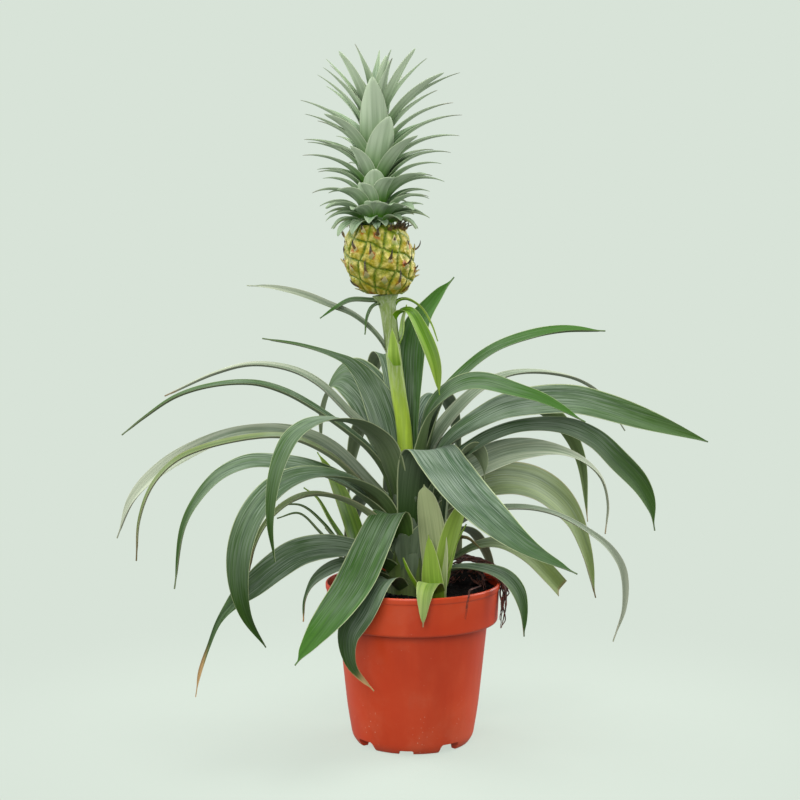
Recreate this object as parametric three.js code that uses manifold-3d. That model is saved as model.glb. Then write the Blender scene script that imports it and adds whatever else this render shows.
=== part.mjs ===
// Potted pineapple plant, in millimetres, +Z up. The origin is the middle of the pot's foot, on the ground.
// The leaves spread left and right (X); -Y is the front.

import * as THREE from "three";
import * as BufferGeometryUtils from "three/addons/utils/BufferGeometryUtils.js";
import Module from "manifold-3d";

const wasm = await Module();
wasm.setup();

// Clearance between neighbours, and how far a cut face may be straightened
const GAP = 0.3;
const SIMPLIFY = 0.05;

// Strap leaves: thick at the keel and thin at the edges, narrow and steeply folded at the foot, flatter
// and full width from the peak on, then drawn out to the tip
const KEEL_THICKNESS = 1.3;
const EDGE_THICKNESS = 0.7;
const TIP_WIDTH = 1.8;
const FOOT_SHARE = 0.62;
const FOOT_FOLD = 48;
const BLADE_FOLD = 18;
const USUAL_PEAK = 0.3;
const CUT_TAPER = 0.3;
const FOLD_END = 0.35;
const ROLL_END = 0.6;
const KEEL_THINNING = 0.35;
const SECTION_DROP = 0.4;
const LEAF_STEP = 25;
const LEAF_STEPS = { fewest: 4, most: 12 };

// Pot
const POT_SIDES = 32;
const POT_WALL = 1.4;
const RIM_RADIUS = 55;
const RIM_HEIGHT = 102;
const BAND_RADIUS = 53.4;
const BAND_HEIGHT = 78;
const SIDE_TOP_RADIUS = 47;
const SIDE_LOW_RADIUS = 41.2;
const SIDE_LOW_HEIGHT = 22;
const FOOT_RADIUS = 35;
const FOOT_INNER_RADIUS = 31;
const FOOT_ROUND = { radius: 38.2, height: 5 };
const FLOOR_UNDERSIDE = 3;
const NOTCH_DEPTH = 12;
const NOTCH_COUNT = 8;
const NOTCH_START = -52;
const DEEP_NOTCH = { width: 14, height: 5.6 };
const SHALLOW_NOTCH = { width: 9, height: 2.6 };

// Soil: its level, a low mound round the stem and a heap under the roots
const SOIL_LEVEL = 94.3;
const SOIL_RADII = [52.6, 43, 30, 16];
const SOIL_MOUND = 1.5;
const SOIL_HEAP = { x: 34, y: 22, height: 4, spread: 500 };

// Stem and stalk: [x, y, z, radius] up the middle line
const STEM_SIDES = 10;
const STEM_LINE = [
  [-3, 0, 76, 12.5],
  [-3, 0, 95, 14.8],
  [-3, 0, 110, 14],
  [-3.2, 0, 130, 11],
  [-3.6, 0, 148, 7.6],
  [-4, 0, 164, 5.4],
  [-5.6, 0, 198, 4.8],
  [-8.8, 0, 220, 4.7],
  [-12, 0, 244, 4.7],
  [-14.4, 0, 264, 4.8],
  [-16.1, 0, 276.5, 5.6],
  [-17.1, 0, 282.6, 8.6],
];
const ROSETTE_AXIS = new THREE.Vector3(-3, 0, 0);

// Fruit
const FRUIT_BASE = new THREE.Vector3(-17.8, 0, 283);
const FRUIT_TOP = new THREE.Vector3(-23.4, 0, 325.5);
const FRUIT_RADIUS = 19.9;
const FRUIT_BARREL = { middle: 0.47, power: 2.4, topDraw: 0.24, footDraw: 0.5 };
const FRUIT_SIDES = 36;
const FRUIT_ROWS = 15;
const EYE_RELIEF = 2.1;
const EYE_STEEP = new THREE.Vector2(4.8, 11.7);
const EYE_STEEP_TURNS = 3;
const EYE_SHALLOW_TURNS = 11;
const BRACT_LENGTH = 7;
const BRACT_WIDTHS = [2.4, 1.8, 0.8];

// Crown
const CROWN_BASE = new THREE.Vector3(-23.6, 0, 325.8);
const CROWN_LEAVES = 44;
const CROWN_CORE = [[0, 12], [4, 11], [12, 8.5], [34, 5], [76, 1.4]];
const CROWN_FIRST_LEAF = 1.4;
const CROWN_LAST_LEAF = 69;
const CROWN_LENGTHS = { lowest: 24, middle: 56, top: 43 };
const CROWN_WIDTHS = { lowest: 12, middle: 15, top: 11 };
const CROWN_SLOPES = { lowest: 44, top: 82 };
const CROWN_BENDS = { lowest: 72, top: 36 };
const CROWN_LEAF_SHAPE = [0.8, 1, 0.78, 0.42, 0.1];
const CROWN_LEAF_THICKNESS = 1.1;
const GOLDEN_ANGLE = 137.508;

const COLOURS = {
  pot: 0xb9492c,
  soil: 0x2a1d16,
  roots: 0x5d3524,
  stem: 0x8fb24e,
  leaf: 0x54704f,
  paleLeaf: 0x9aa274,
  shoot: 0x9cbf58,
  fruit: 0xb9b254,
  crown: 0x93ae8b,
};

// Long leaves from the innermost to the outermost. Each has the azimuth that it grows towards
// (0 is +X, 90 is the back), its width, and its midrib as [reach, height] points from the stem's
// middle line, with a third number where a point turns off that azimuth. "roll" turns the upper
// face to the front, "sway" turns the tip's azimuth, "open" flattens the fold, and "cut" is a tip
// that was cut square. "shares" and "rolls" are shares of the width and angles of roll at even
// steps from foot to tip, for a blade that swells, narrows or twists on its way.
const LEAVES = [
  { azimuth: 80, width: 15, sway: -38, shares: [0.5, 0.5, 0.55, 0.7, 0.95, 1.2, 1.2, 0.9, 0.1],
    line: [[5, 148], [8, 170], [9.5, 200], [10, 228], [12, 248], [19, 263], [31, 278], [39, 292]] },
  { azimuth: 104, width: 19,
    line: [[5, 146], [9, 166], [16, 195], [27, 220], [42, 236], [60, 241], [82, 236], [104, 218],
      [120, 192]] },
  { azimuth: 12, width: 15, roll: 20, shares: [0.6, 0.9, 0.95, 0.8, 0.8, 0.9, 1, 0.8, 0.05],
    line: [[5, 146], [8, 166], [12, 190], [21, 217], [34, 232], [54, 247], [76, 255], [100, 259],
      [128, 258]] },
  { azimuth: 150, width: 18, shares: [0.8, 1.2, 1.45, 1.5, 1.1, 0.6, 0.4, 0.25, 0.05],
    rolls: [0, 10, 25, 30, 20, 15],
    line: [[5, 144], [8, 165], [13, 191], [26, 221], [41, 237], [57, 243], [80, 248], [109, 251]] },
  { azimuth: 335, width: 15, shares: [1, 1.6, 1.8, 1.6, 1.25, 0.95, 0.65, 0.05],
    rolls: [0, 15, 30, 35, 30, 25],
    line: [[5, 143], [7, 165], [9, 190], [14, 209], [23, 220], [36, 228], [50, 230], [70, 226], [90, 221],
      [117, 209]] },
  { azimuth: 128, width: 30, peak: 0.45, open: 0.6,
    line: [[5, 140], [9, 160], [17, 184], [29, 205], [46, 221], [66, 228], [82, 220], [92, 200],
      [94, 180]] },
  { azimuth: 32, width: 10, roll: 10, shares: [0.9, 1.5, 1.7, 1.3, 1, 0.9, 0.7, 0.4, 0.05],
    line: [[5, 140], [8, 160], [14, 180], [25, 197], [46, 216], [68, 227], [87, 230], [112, 228], [134, 222],
      [152, 211], [172, 186]] },
  { azimuth: 172, width: 13, roll: 10,
    line: [[5, 138], [8, 158], [13, 177], [21, 193], [37, 208], [56, 226], [74, 235], [99, 238], [123, 232],
      [156, 217]] },
  { azimuth: 357, width: 26, roll: 45, sway: 4, peak: 0.62,
    line: [[5, 136], [8, 156], [14, 176], [28, 193], [46, 205], [61, 212], [84, 216], [104, 216], [122, 212],
      [147, 204], [188, 190]] },
  { azimuth: 183, width: 13, roll: 10,
    line: [[5, 134], [8, 152], [13, 170], [23, 185], [38, 198], [61, 214], [78, 223], [96, 228], [120, 227],
      [144, 220], [164, 207], [178, 196]] },
  { azimuth: 73, width: 18,
    line: [[5, 134], [9, 154], [18, 178], [34, 200], [54, 211], [76, 212], [98, 202], [114, 182],
      [122, 154]] },
  { azimuth: 43, width: 18, roll: 10,
    line: [[5, 130], [9, 148], [18, 168], [36, 188], [60, 203], [84, 210], [103, 209], [125, 201],
      [145, 187],
      [161, 164], [169, 120]] },
  { azimuth: 236, width: 20, open: 0.5,
    line: [[6, 138], [9, 156], [15, 172], [28, 193], [52, 207], [78, 213], [100, 213], [122, 205],
      [136, 186],
      [141, 160], [137, 136]] },
  { azimuth: 302, width: 32, sway: 6, peak: 0.4, open: 0.35,
    line: [[6, 134], [9, 152], [12, 171], [17, 185], [26, 189], [40, 181], [60, 168], [81, 157], [117, 141],
      [155, 131]] },
  { azimuth: 176, width: 16, shares: [0.6, 0.9, 1, 0.9, 0.45, 0.6, 0.85, 0.8, 0.05],
    rolls: [0, 10, 20, 25, 65, 60, 45, 30, 20],
    line: [[5, 128], [9, 142], [15, 153], [25, 164], [44, 183], [57, 191], [75, 196], [95, 197], [112, 194],
      [136, 184], [158, 170], [175, 152], [185.5, 127]] },
  { azimuth: 0, width: 17, shares: [0.6, 0.75, 0.8, 0.75, 0.8, 1, 1.1, 0.9, 0.05],
    rolls: [0, 20, 30, 30, 40, 50, 50],
    line: [[5, 128], [9, 146], [12, 160], [20, 173], [37, 185], [52, 194], [71, 200], [97, 200], [116, 192],
      [131, 178], [145, 163], [152, 149], [155, 134]] },
  { azimuth: 191, width: 10, roll: 10, pale: true,
    line: [[5, 126], [9, 140], [14, 148], [23, 158], [43, 179], [62, 191], [78, 196], [97, 196], [128, 190],
      [146, 182], [160, 167], [168, 146], [170, 121]] },
  { azimuth: 90, width: 20,
    line: [[6, 128], [10, 146], [20, 168], [37, 190], [60, 203], [84, 203], [104, 188],
      [118, 162], [124, 132]] },
  { azimuth: 109, width: 18,
    line: [[6, 124], [10, 140], [20, 160], [37, 182], [58, 194], [82, 195], [103, 183],
      [118, 160], [126, 132]] },
  { azimuth: 27, width: 18, pale: true, shares: [0.6, 0.8, 1.1, 1.2, 1, 0.5, 0.3, 0.2, 0.05],
    rolls: [0, 25, 45, 50, 40, 20],
    line: [[5, 122], [10, 138], [18, 151], [30, 162], [53, 174], [76, 180], [107, 179],
      [130, 170], [144, 157],
      [149, 140], [147, 120]] },
  { azimuth: 220, width: 19, roll: 24, peak: 0.6,
    line: [[6, 126], [10, 138], [14, 148], [24, 160], [46, 172], [67, 177], [86, 177], [104, 171],
      [119, 158],
      [128, 140], [130, 119], [125, 98], [111, 76]] },
  { azimuth: 199, width: 14, shares: [0.7, 1, 1.25, 1.35, 1.2, 0.9, 0.6, 0.35, 0.05],
    rolls: [0, 20, 28, 30, 25, 15],
    line: [[6, 120], [10, 134], [18, 148], [41, 167], [64, 177], [84, 181], [103, 182],
      [121, 175], [135, 161],
      [144, 144], [150, 107]] },
  { azimuth: 38, width: 22, pale: true, shares: [0.5, 0.7, 0.95, 1.25, 1.45, 1.5, 1.2, 0.7, 0.05],
    rolls: [0, 20, 40, 58, 66, 60],
    line: [[6, 116], [11, 130], [22, 142], [41, 151], [64, 157], [84, 158], [110, 151],
      [136, 132], [152, 104],
      [163, 70]] },
  { azimuth: 214, width: 11, pale: true,
    line: [[6, 114], [11, 127], [24, 144], [48, 159], [70, 164], [88, 160], [103, 149],
      [111, 136], [115, 121]] },
  { azimuth: 96, width: 18,
    line: [[6, 116], [11, 130], [24, 146], [48, 158], [76, 158], [100, 142], [116, 116], [123, 88]] },
  { azimuth: 72, width: 17,
    line: [[6, 112], [11, 126], [26, 142], [50, 151], [76, 147], [98, 129], [112, 100], [117, 78]] },
  { azimuth: 114, width: 16,
    line: [[6, 112], [11, 126], [26, 140], [48, 149], [70, 146], [88, 130], [99, 104], [103, 80]] },
  { azimuth: 240, width: 26, roll: 0, open: 0.35,
    line: [[7, 120], [11, 134], [15, 144], [22, 149], [31, 144], [45, 131], [65, 112], [94, 95],
      [131, 76]] },
  { azimuth: 11, width: 11, shares: [0.8, 0.9, 0.9, 0.75, 0.45, 0.4, 0.8, 0.6, 0.05],
    rolls: [0, 10, 14, 20, 60, 90, 40],
    line: [[6, 110], [12, 122], [27, 135], [43, 144], [62, 147], [81, 146], [98, 141], [119, 129],
      [133, 117],
      [141, 103], [142, 80], [135, 57]] },
  { azimuth: 212, width: 19, shares: [0.7, 1, 1.15, 1.2, 1.15, 1.1, 1, 0.8, 0.25, 0.12, 0.16, 0.05],
    rolls: [0, 20, 34, 40, 40, 50, 90, 60],
    line: [[6, 102], [11, 111], [19, 118], [40, 126], [61, 129], [80, 127], [95, 120], [109, 111],
      [122, 103],
      [133, 92], [140, 78], [146, 63], [149, 48]] },
  { azimuth: 18, width: 13, cut: true, shares: [0.6, 0.8, 1, 1.3, 1.35, 1.3], rolls: [0, 25, 45, 58],
    line: [[8, 102], [15, 108], [30, 115], [43, 121], [53, 123], [63, 122], [81, 113], [95, 100],
      [104, 90]] },
  { azimuth: 341, width: 13, shares: [0.7, 0.9, 1.05, 1.15, 0.9, 0.05], rolls: [0, 15, 30, 35],
    line: [[8, 100], [15, 106], [31, 113], [50, 113], [63, 109], [71, 101], [75, 89], [76, 72]] },
  { azimuth: 196, width: 14, roll: 25, shares: [0.7, 0.9, 1, 1.05, 1, 0.9, 0.6, 0.2, 0.12, 0.05],
    line: [[8, 99], [15, 106], [26, 112], [40, 115], [53, 111], [62, 104], [67, 94], [68, 80]] },
  { azimuth: 247, width: 15, open: 0.6, shares: [0.8, 1.1, 1.3, 1.4, 1.25, 0.9, 0.4, 0.25, 0.2, 0.1],
    line: [[9, 98], [24, 107], [42, 111], [55, 107.5], [63, 96, -3], [65, 79, -11], [63, 61, -10],
      [61, 46, 3]] },
  { azimuth: 352, width: 8,
    line: [[7, 106], [14, 118], [26, 129], [37, 131], [46, 124]] },
  { azimuth: 55, width: 15,
    line: [[8, 104], [14, 113], [30, 125], [52, 129], [76, 121], [94, 101], [104, 76]] },
  { azimuth: 118, width: 14,
    line: [[8, 104], [14, 112], [28, 121], [44, 124], [58, 116], [67, 98], [70, 78]] },
  { azimuth: 86, width: 15,
    line: [[8, 100], [15, 107], [30, 115], [54, 116], [74, 103], [86, 80]] },
];

// Offset shoots: how deep they reach, where each stands in the soil, and its leaves as above about its
// own middle line
const SHOOT_FOOT = 80;
const SHOOTS = [
  { name: "shoot_front", foot: [15, -17], heart: 4,
    leaves: [
      { azimuth: 236, width: 16, open: 0.6, shares: [0.7, 0.9, 1.15, 1.3, 1.2, 0.9, 0.2],
        line: [[0, 84], [2, 104], [4, 122], [8, 142], [15, 166]] },
      { azimuth: 312, width: 14, open: 0.6, shares: [0.7, 0.9, 1.1, 1.2, 1.1, 0.8, 0.1],
        line: [[0, 84], [3, 104], [7, 122], [11, 138], [17, 152]] },
      { azimuth: 205, width: 8, line: [[0, 84], [8, 94], [15, 105], [20, 114], [23, 122]] },
      { azimuth: 8, width: 9, line: [[0, 84], [4, 102], [8, 118], [12, 130], [18, 141]] },
      { azimuth: 248, width: 13, line: [[0, 84], [6, 98], [10, 112], [12, 124], [15, 137]] },
      { azimuth: 258, width: 13,
        line: [[0, 84], [6, 99], [18, 107.5], [32, 109], [39.8, 105], [43.4, 96.5], [44.4, 86]] },
    ] },
  { name: "shoot_left", foot: [-29, 9], heart: 3.5,
    leaves: [
      { azimuth: 140, width: 15, line: [[0, 84], [3, 104], [9, 126], [18, 146], [29, 164], [42, 179]] },
      { azimuth: 196, width: 12, line: [[0, 84], [4, 100], [10, 114], [18, 126], [27, 136]] },
      { azimuth: 160, width: 9, line: [[0, 84], [5, 104], [14, 122], [25, 138], [34, 152], [43, 158]] },
      { azimuth: 172, width: 6, line: [[0, 84], [6, 104], [16, 121], [28, 137], [42, 148], [57, 148]] },
      { azimuth: 188, width: 6, line: [[0, 84], [6, 100], [17, 117], [30, 133], [43, 145], [57, 142]] },
    ] },
];

// Small leaves and bracts on the stalk, about the stalk's own line at the height where each leaves it
const STALK_LEAVES = [
  { azimuth: 180, width: 5,
    line: [[0, 222], [5, 243], [14, 258], [28, 270], [42, 276], [60, 283], [78, 287], [94, 288]] },
  { azimuth: 325, width: 10, line: [[0, 262], [6, 272], [14, 273], [23, 262], [33, 242], [37, 222]] },
  { azimuth: 8, width: 5, line: [[0, 268], [5, 278.5], [11, 280], [20, 275], [27, 264], [31, 253]] },
  { azimuth: 186, width: 7, line: [[0, 268], [6, 278], [13, 279], [24, 279], [34, 274], [43, 268]] },
  { azimuth: 206, width: 5, line: [[0, 266], [5, 277], [11, 276], [15, 270], [17, 258]] },
  { azimuth: 20, width: 9, line: [[0, 246], [5.4, 258], [6.6, 268], [8.6, 276]] },
  { azimuth: 250, width: 9, line: [[0, 232], [5.2, 244], [6.4, 254], [7.6, 262]] },
  { azimuth: 130, width: 9, line: [[0, 214], [5.2, 226], [6.4, 238], [8, 248]] },
];

// Root strands: middle lines over the soil and the rim, with their radii
const ROOT_STRANDS = [
  { radius: 2,
    line: [[20, 45, 103], [26, 46, 108.5], [37, 38.5, 109], [47, 26, 108], [54, 10, 107.5], [57.8, -1, 101],
      [58.4, -7, 91], [57, -11, 80]] },
  { radius: 1.5,
    line: [[30, 16, 103], [41, 8, 107.5], [52, -4, 107], [57.4, -10, 99], [57.2, -13, 89],
      [54.8, -15, 76]] },
  { radius: 1.3, line: [[34, 24, 105], [45, 18, 109.5], [54, 12, 107.5], [58.6, 7, 99], [58.4, 3, 89]] },
  { radius: 1.2, line: [[36, 14, 103], [46, 4, 108], [53.5, -3, 106], [57.4, -3, 99], [57.4, -1, 87]] },
  { radius: 1.1, line: [[28, 30, 103], [40, 30, 107], [49, 26, 107], [55.4, 19, 100], [55.6, 15, 91]] },
  { radius: 0.9,
    line: [[38, 8, 101], [42, -14, 102], [38, -34, 104.5], [33.8, -46.4, 105], [32.6, -51.6, 99],
      [31.4, -52.4, 89]] },
  { radius: 1.0, line: [[20, 30, 101], [28, 22, 107], [37, 12, 108], [44, -2, 105], [44, -14, 99]] },
];
const ROOT_HEAP = { centre: [34, 18, 101.5], radii: [11, 11, 6.5] };

const radians = THREE.MathUtils.degToRad;
const smooth = (value) => THREE.MathUtils.smoothstep(value, 0, 1);

// A closed mesh from vertex rings, as a solid
function solidOf(geometry) {
  const bare = geometry.clone();
  bare.deleteAttribute("normal");
  bare.deleteAttribute("uv");
  const merged = BufferGeometryUtils.mergeVertices(bare, 1e-4);
  const index = merged.index.array;
  const faces = [];
  for (let i = 0; i < index.length; i += 3) {
    const [a, b, c] = [index[i], index[i + 1], index[i + 2]];
    if (a !== b && b !== c && c !== a) faces.push(a, b, c);
  }
  const mesh = new wasm.Mesh({
    numProp: 3,
    vertProperties: new Float32Array(merged.attributes.position.array),
    triVerts: new Uint32Array(faces),
  });
  return new wasm.Manifold(mesh);
}

// The one largest body of a solid, as a geometry: crumbs and sealed hollows are left behind
function geometryOf(solid) {
  const mesh = solid.simplify(SIMPLIFY).getMesh();
  const parent = Array.from({ length: mesh.numVert }, (_, i) => i);
  const find = (i) => {
    while (parent[i] !== i) {
      parent[i] = parent[parent[i]];
      i = parent[i];
    }
    return i;
  };
  const triangles = mesh.triVerts;
  for (let i = 0; i < triangles.length; i += 3) {
    parent[find(triangles[i + 1])] = find(triangles[i]);
    parent[find(triangles[i + 2])] = find(triangles[i]);
  }
  const corner = (i) => new THREE.Vector3(...mesh.vertProperties.slice(3 * i, 3 * i + 3));
  const volumes = new Map();
  for (let i = 0; i < triangles.length; i += 3) {
    const [a, b, c] = [triangles[i], triangles[i + 1], triangles[i + 2]];
    const part = corner(a).dot(corner(b).cross(corner(c))) / 6;
    volumes.set(find(a), (volumes.get(find(a)) ?? 0) + part);
  }
  const [largest] = [...volumes.entries()].sort((a, b) => b[1] - a[1])[0];
  const faces = [];
  for (let i = 0; i < triangles.length; i += 3) {
    if (find(triangles[i]) === largest) faces.push(triangles[i], triangles[i + 1], triangles[i + 2]);
  }
  const geometry = new THREE.BufferGeometry();
  geometry.setAttribute("position", new THREE.BufferAttribute(new Float32Array(mesh.vertProperties), 3));
  geometry.setIndex(faces);
  return geometry.toNonIndexed();
}

// A loft through rings of points. Blade rings hold the upper face from edge to edge and then the
// lower face back, so that both faces split alike and a turned blade never crosses itself.
function loft(rings, isBlade) {
  const count = rings[0].length;
  const half = count / 2;
  const positions = [];
  const triangle = (...points) => points.forEach((point) => positions.push(point.x, point.y, point.z));
  for (let s = 0; s + 1 < rings.length; s += 1) {
    for (let k = 0; k < count; k += 1) {
      const next = (k + 1) % count;
      const [a, b, c, d] = [rings[s][k], rings[s][next], rings[s + 1][next], rings[s + 1][k]];
      if (isBlade && k >= half) {
        triangle(a, b, d);
        triangle(b, c, d);
      } else {
        triangle(a, b, c);
        triangle(a, c, d);
      }
    }
  }
  const cap = (ring, outward) => {
    if (isBlade) {
      for (let k = 0; k + 1 < half; k += 1) {
        const quad = [ring[k], ring[k + 1], ring[count - 2 - k], ring[count - 1 - k]];
        if (outward) quad.reverse();
        triangle(quad[0], quad[3], quad[2]);
        triangle(quad[0], quad[2], quad[1]);
      }
      return;
    }
    if (count === 3) {
      triangle(ring[0], ring[outward ? 1 : 2], ring[outward ? 2 : 1]);
      return;
    }
    const middle = ring.reduce((sum, point) => sum.add(point), new THREE.Vector3()).divideScalar(count);
    for (let k = 0; k < count; k += 1) {
      const [a, b] = [ring[k], ring[(k + 1) % count]];
      triangle(middle, outward ? a : b, outward ? b : a);
    }
  };
  cap(rings[0], false);
  cap(rings[rings.length - 1], true);
  const geometry = new THREE.BufferGeometry();
  geometry.setAttribute("position", new THREE.Float32BufferAttribute(positions, 3));
  return solidOf(geometry);
}

// A round bar through [x, y, z, radius] stations
function bar(stations, sides, extra = 0) {
  const points = stations.map(([x, y, z]) => new THREE.Vector3(x, y, z));
  const curve = new THREE.CatmullRomCurve3(points);
  const rings = stations.map(([, , , radius], s) => {
    const t = s / (stations.length - 1);
    const tangent = curve.getTangent(t);
    const side = new THREE.Vector3(0, 1, 0);
    if (Math.abs(tangent.y) > 0.8) side.set(1, 0, 0);
    side.addScaledVector(tangent, -side.dot(tangent)).normalize();
    const other = new THREE.Vector3().crossVectors(tangent, side);
    return Array.from({ length: sides }, (_, k) => {
      const angle = (2 * Math.PI * k) / sides;
      return points[s].clone()
        .addScaledVector(side, (radius + extra) * Math.cos(angle))
        .addScaledVector(other, (radius + extra) * Math.sin(angle));
    });
  });
  return loft(rings, false);
}

// The middle line of a leaf, in space
function midrib(leaf, axis) {
  const reach = leaf.line[leaf.line.length - 1][0];
  const points = leaf.line.map(([radius, height, turn = 0]) => {
    const sway = (leaf.sway ?? 0) * Math.max(radius / reach, 0) ** 2;
    const angle = radians(leaf.azimuth + turn + sway);
    return new THREE.Vector3(axis.x + radius * Math.cos(angle), axis.y + radius * Math.sin(angle), height);
  });
  return new THREE.CatmullRomCurve3(points);
}

// The value at a share of the way along evenly spaced ones
function valueAlong(values, s) {
  const place = s * (values.length - 1);
  const before = Math.min(Math.floor(place), values.length - 2);
  return THREE.MathUtils.lerp(values[before], values[before + 1], place - before);
}

// The usual width of a blade as a share of its full width: narrow at the foot, full at its peak
function usualShare(leaf, s) {
  const peak = leaf.peak ?? USUAL_PEAK;
  const taper = leaf.cut ? CUT_TAPER : 1;
  const narrowing = 1 - taper * Math.max((s - peak) / (1 - peak), 0) ** 2;
  return THREE.MathUtils.lerp(FOOT_SHARE, 1, smooth(s / peak)) * narrowing;
}

// A channelled strap blade. The extra amount makes the same blade fatter all round, to cut with.
function strapLeaf(leaf, axis, extra = 0) {
  const curve = midrib(leaf, axis);
  const steps = THREE.MathUtils.clamp(
    Math.round(curve.getLength() / LEAF_STEP), LEAF_STEPS.fewest, LEAF_STEPS.most,
  );
  const facing = Math.cos(radians(leaf.azimuth)) < 0 ? -1 : 1;
  const rings = [];
  for (let i = 0; i <= steps; i += 1) {
    const s = i / steps;
    const point = curve.getPointAt(s);
    const tangent = curve.getTangentAt(s);
    const outward = new THREE.Vector3(point.x - axis.x, point.y - axis.y, 0);
    const angle = outward.length() > 3 ? Math.atan2(outward.y, outward.x) : radians(leaf.azimuth);
    const side = new THREE.Vector3(-Math.sin(angle), Math.cos(angle), 0);
    side.addScaledVector(tangent, -side.dot(tangent)).normalize();
    const roll = leaf.rolls ? valueAlong(leaf.rolls, s) : (leaf.roll ?? 0) * smooth(s / ROLL_END);
    side.applyAxisAngle(tangent, facing * radians(roll));
    const up = new THREE.Vector3().crossVectors(tangent, side);
    const share = leaf.shares ? valueAlong(leaf.shares, s) : usualShare(leaf, s);
    const width = Math.max(leaf.width * share, TIP_WIDTH) + 2 * extra;
    const folded = THREE.MathUtils.lerp(FOOT_FOLD, BLADE_FOLD, smooth(s / FOLD_END));
    const fold = radians(folded * (leaf.open ?? 1));
    const keel = KEEL_THICKNESS * (1 - KEEL_THINNING * s) + 2 * extra;
    const edge = EDGE_THICKNESS + 2 * extra;
    const [spread, rise] = [(width / 2) * Math.cos(fold), (width / 2) * Math.sin(fold)];
    const place = (sideways, upwards) => point.clone().addScaledVector(side, sideways)
      .addScaledVector(up, upwards + extra - SECTION_DROP * rise);
    const [inset, drop] = [edge * Math.sin(fold), edge * Math.cos(fold)];
    rings.push([
      place(spread, rise), place(0, 0), place(-spread, rise),
      place(-spread - inset, rise - drop), place(0, -keel), place(spread + inset, rise - drop),
    ]);
  }
  return loft(rings, true);
}

// A small pointed blade with a keel, three-cornered in section, through points with their widths
function smallBlade(points, widths, sideway, thickness) {
  const curve = new THREE.CatmullRomCurve3(points);
  const rings = points.map((point, i) => {
    const tangent = curve.getTangent(i / (points.length - 1));
    const side = sideway.clone().addScaledVector(tangent, -sideway.dot(tangent)).normalize();
    const up = new THREE.Vector3().crossVectors(tangent, side);
    const half = widths[i] / 2;
    const edge = (sign) => point.clone().addScaledVector(side, sign * half);
    return [edge(1), edge(-1), point.clone().addScaledVector(up, -thickness - 0.15 * half)];
  });
  return loft(rings, false);
}

// Pot: a turned wall with a stepped band, a rounded foot and a raised floor, notched at the foot
function potSolid() {
  const wall = POT_WALL;
  const profile = [
    [0, FLOOR_UNDERSIDE], [FOOT_INNER_RADIUS - 1, FLOOR_UNDERSIDE], [FOOT_INNER_RADIUS, 0], [FOOT_RADIUS, 0],
    [FOOT_RADIUS + 2, 1.3], [FOOT_ROUND.radius, FOOT_ROUND.height], [SIDE_LOW_RADIUS, SIDE_LOW_HEIGHT],
    [SIDE_TOP_RADIUS, BAND_HEIGHT - 1.2], [BAND_RADIUS - 0.8, BAND_HEIGHT - 0.4],
    [BAND_RADIUS, BAND_HEIGHT + 0.6], [RIM_RADIUS, RIM_HEIGHT - 0.9], [RIM_RADIUS - 0.4, RIM_HEIGHT],
    [RIM_RADIUS - wall + 0.1, RIM_HEIGHT], [BAND_RADIUS - wall, BAND_HEIGHT + 1.4],
    [SIDE_TOP_RADIUS - wall, BAND_HEIGHT + 0.2], [SIDE_LOW_RADIUS - wall, SIDE_LOW_HEIGHT],
    [FOOT_ROUND.radius - wall, FOOT_ROUND.height + wall], [FOOT_RADIUS, FLOOR_UNDERSIDE + wall],
    [0, FLOOR_UNDERSIDE + wall],
  ];
  const shape = new THREE.LatheGeometry(profile.map(([x, y]) => new THREE.Vector2(x, y)), POT_SIDES);
  shape.rotateX(Math.PI / 2);
  let pot = solidOf(shape);
  for (let k = 0; k < NOTCH_COUNT; k += 1) {
    const notch = k % 2 === 0 ? DEEP_NOTCH : SHALLOW_NOTCH;
    const box = new THREE.BoxGeometry(NOTCH_DEPTH, notch.width, 2 * notch.height);
    box.translate(FOOT_INNER_RADIUS + NOTCH_DEPTH / 3, 0, 0);
    box.rotateZ(radians(NOTCH_START + (k * 360) / NOTCH_COUNT));
    pot = pot.subtract(solidOf(box));
  }
  return pot;
}

// Height of the soil's surface: crumbly, heaped a little round the stem and more at the back right
function soilHeight(x, y) {
  const crumbs = 0.9 * Math.sin(0.31 * x + 1.3) * Math.cos(0.27 * y) + 0.5 * Math.sin(0.61 * y + 0.43 * x);
  const around = (middle, spread) => Math.exp(-((x - middle.x) ** 2 + (y - middle.y) ** 2) / spread);
  const heap = SOIL_HEAP.height * around(SOIL_HEAP, SOIL_HEAP.spread);
  return SOIL_LEVEL + crumbs + heap + SOIL_MOUND * around(ROSETTE_AXIS, 700);
}

function soilSolid() {
  const wall = POT_WALL + GAP;
  const floor = FLOOR_UNDERSIDE + wall;
  const profile = [
    [FOOT_RADIUS - 0.4, floor], [FOOT_ROUND.radius - wall, FOOT_ROUND.height + wall + GAP],
    [SIDE_LOW_RADIUS - wall, SIDE_LOW_HEIGHT], [SIDE_TOP_RADIUS - wall, BAND_HEIGHT + 0.6],
    [BAND_RADIUS - wall - 0.1, BAND_HEIGHT + 1.9],
  ];
  const rings = profile.map(([radius, height]) => ring(radius, () => height));
  SOIL_RADII.forEach((radius) => rings.push(ring(radius, soilHeight)));
  return loft(rings, false);
}

function ring(radius, heightAt) {
  return Array.from({ length: POT_SIDES }, (_, k) => {
    const angle = (2 * Math.PI * k) / POT_SIDES + Math.PI / 2;
    const [x, y] = [radius * Math.cos(angle), radius * Math.sin(angle)];
    return new THREE.Vector3(x, y, heightAt(x, y));
  });
}

// Stem and stalk, one body with the stalk's small leaves and bracts
function stalkAxis(height) {
  const above = STEM_LINE.findIndex(([, , z]) => z >= height);
  const [low, high] = [STEM_LINE[above - 1], STEM_LINE[above]];
  const t = (height - low[2]) / (high[2] - low[2]);
  return new THREE.Vector3(low[0] + t * (high[0] - low[0]), low[1] + t * (high[1] - low[1]), 0);
}

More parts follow.
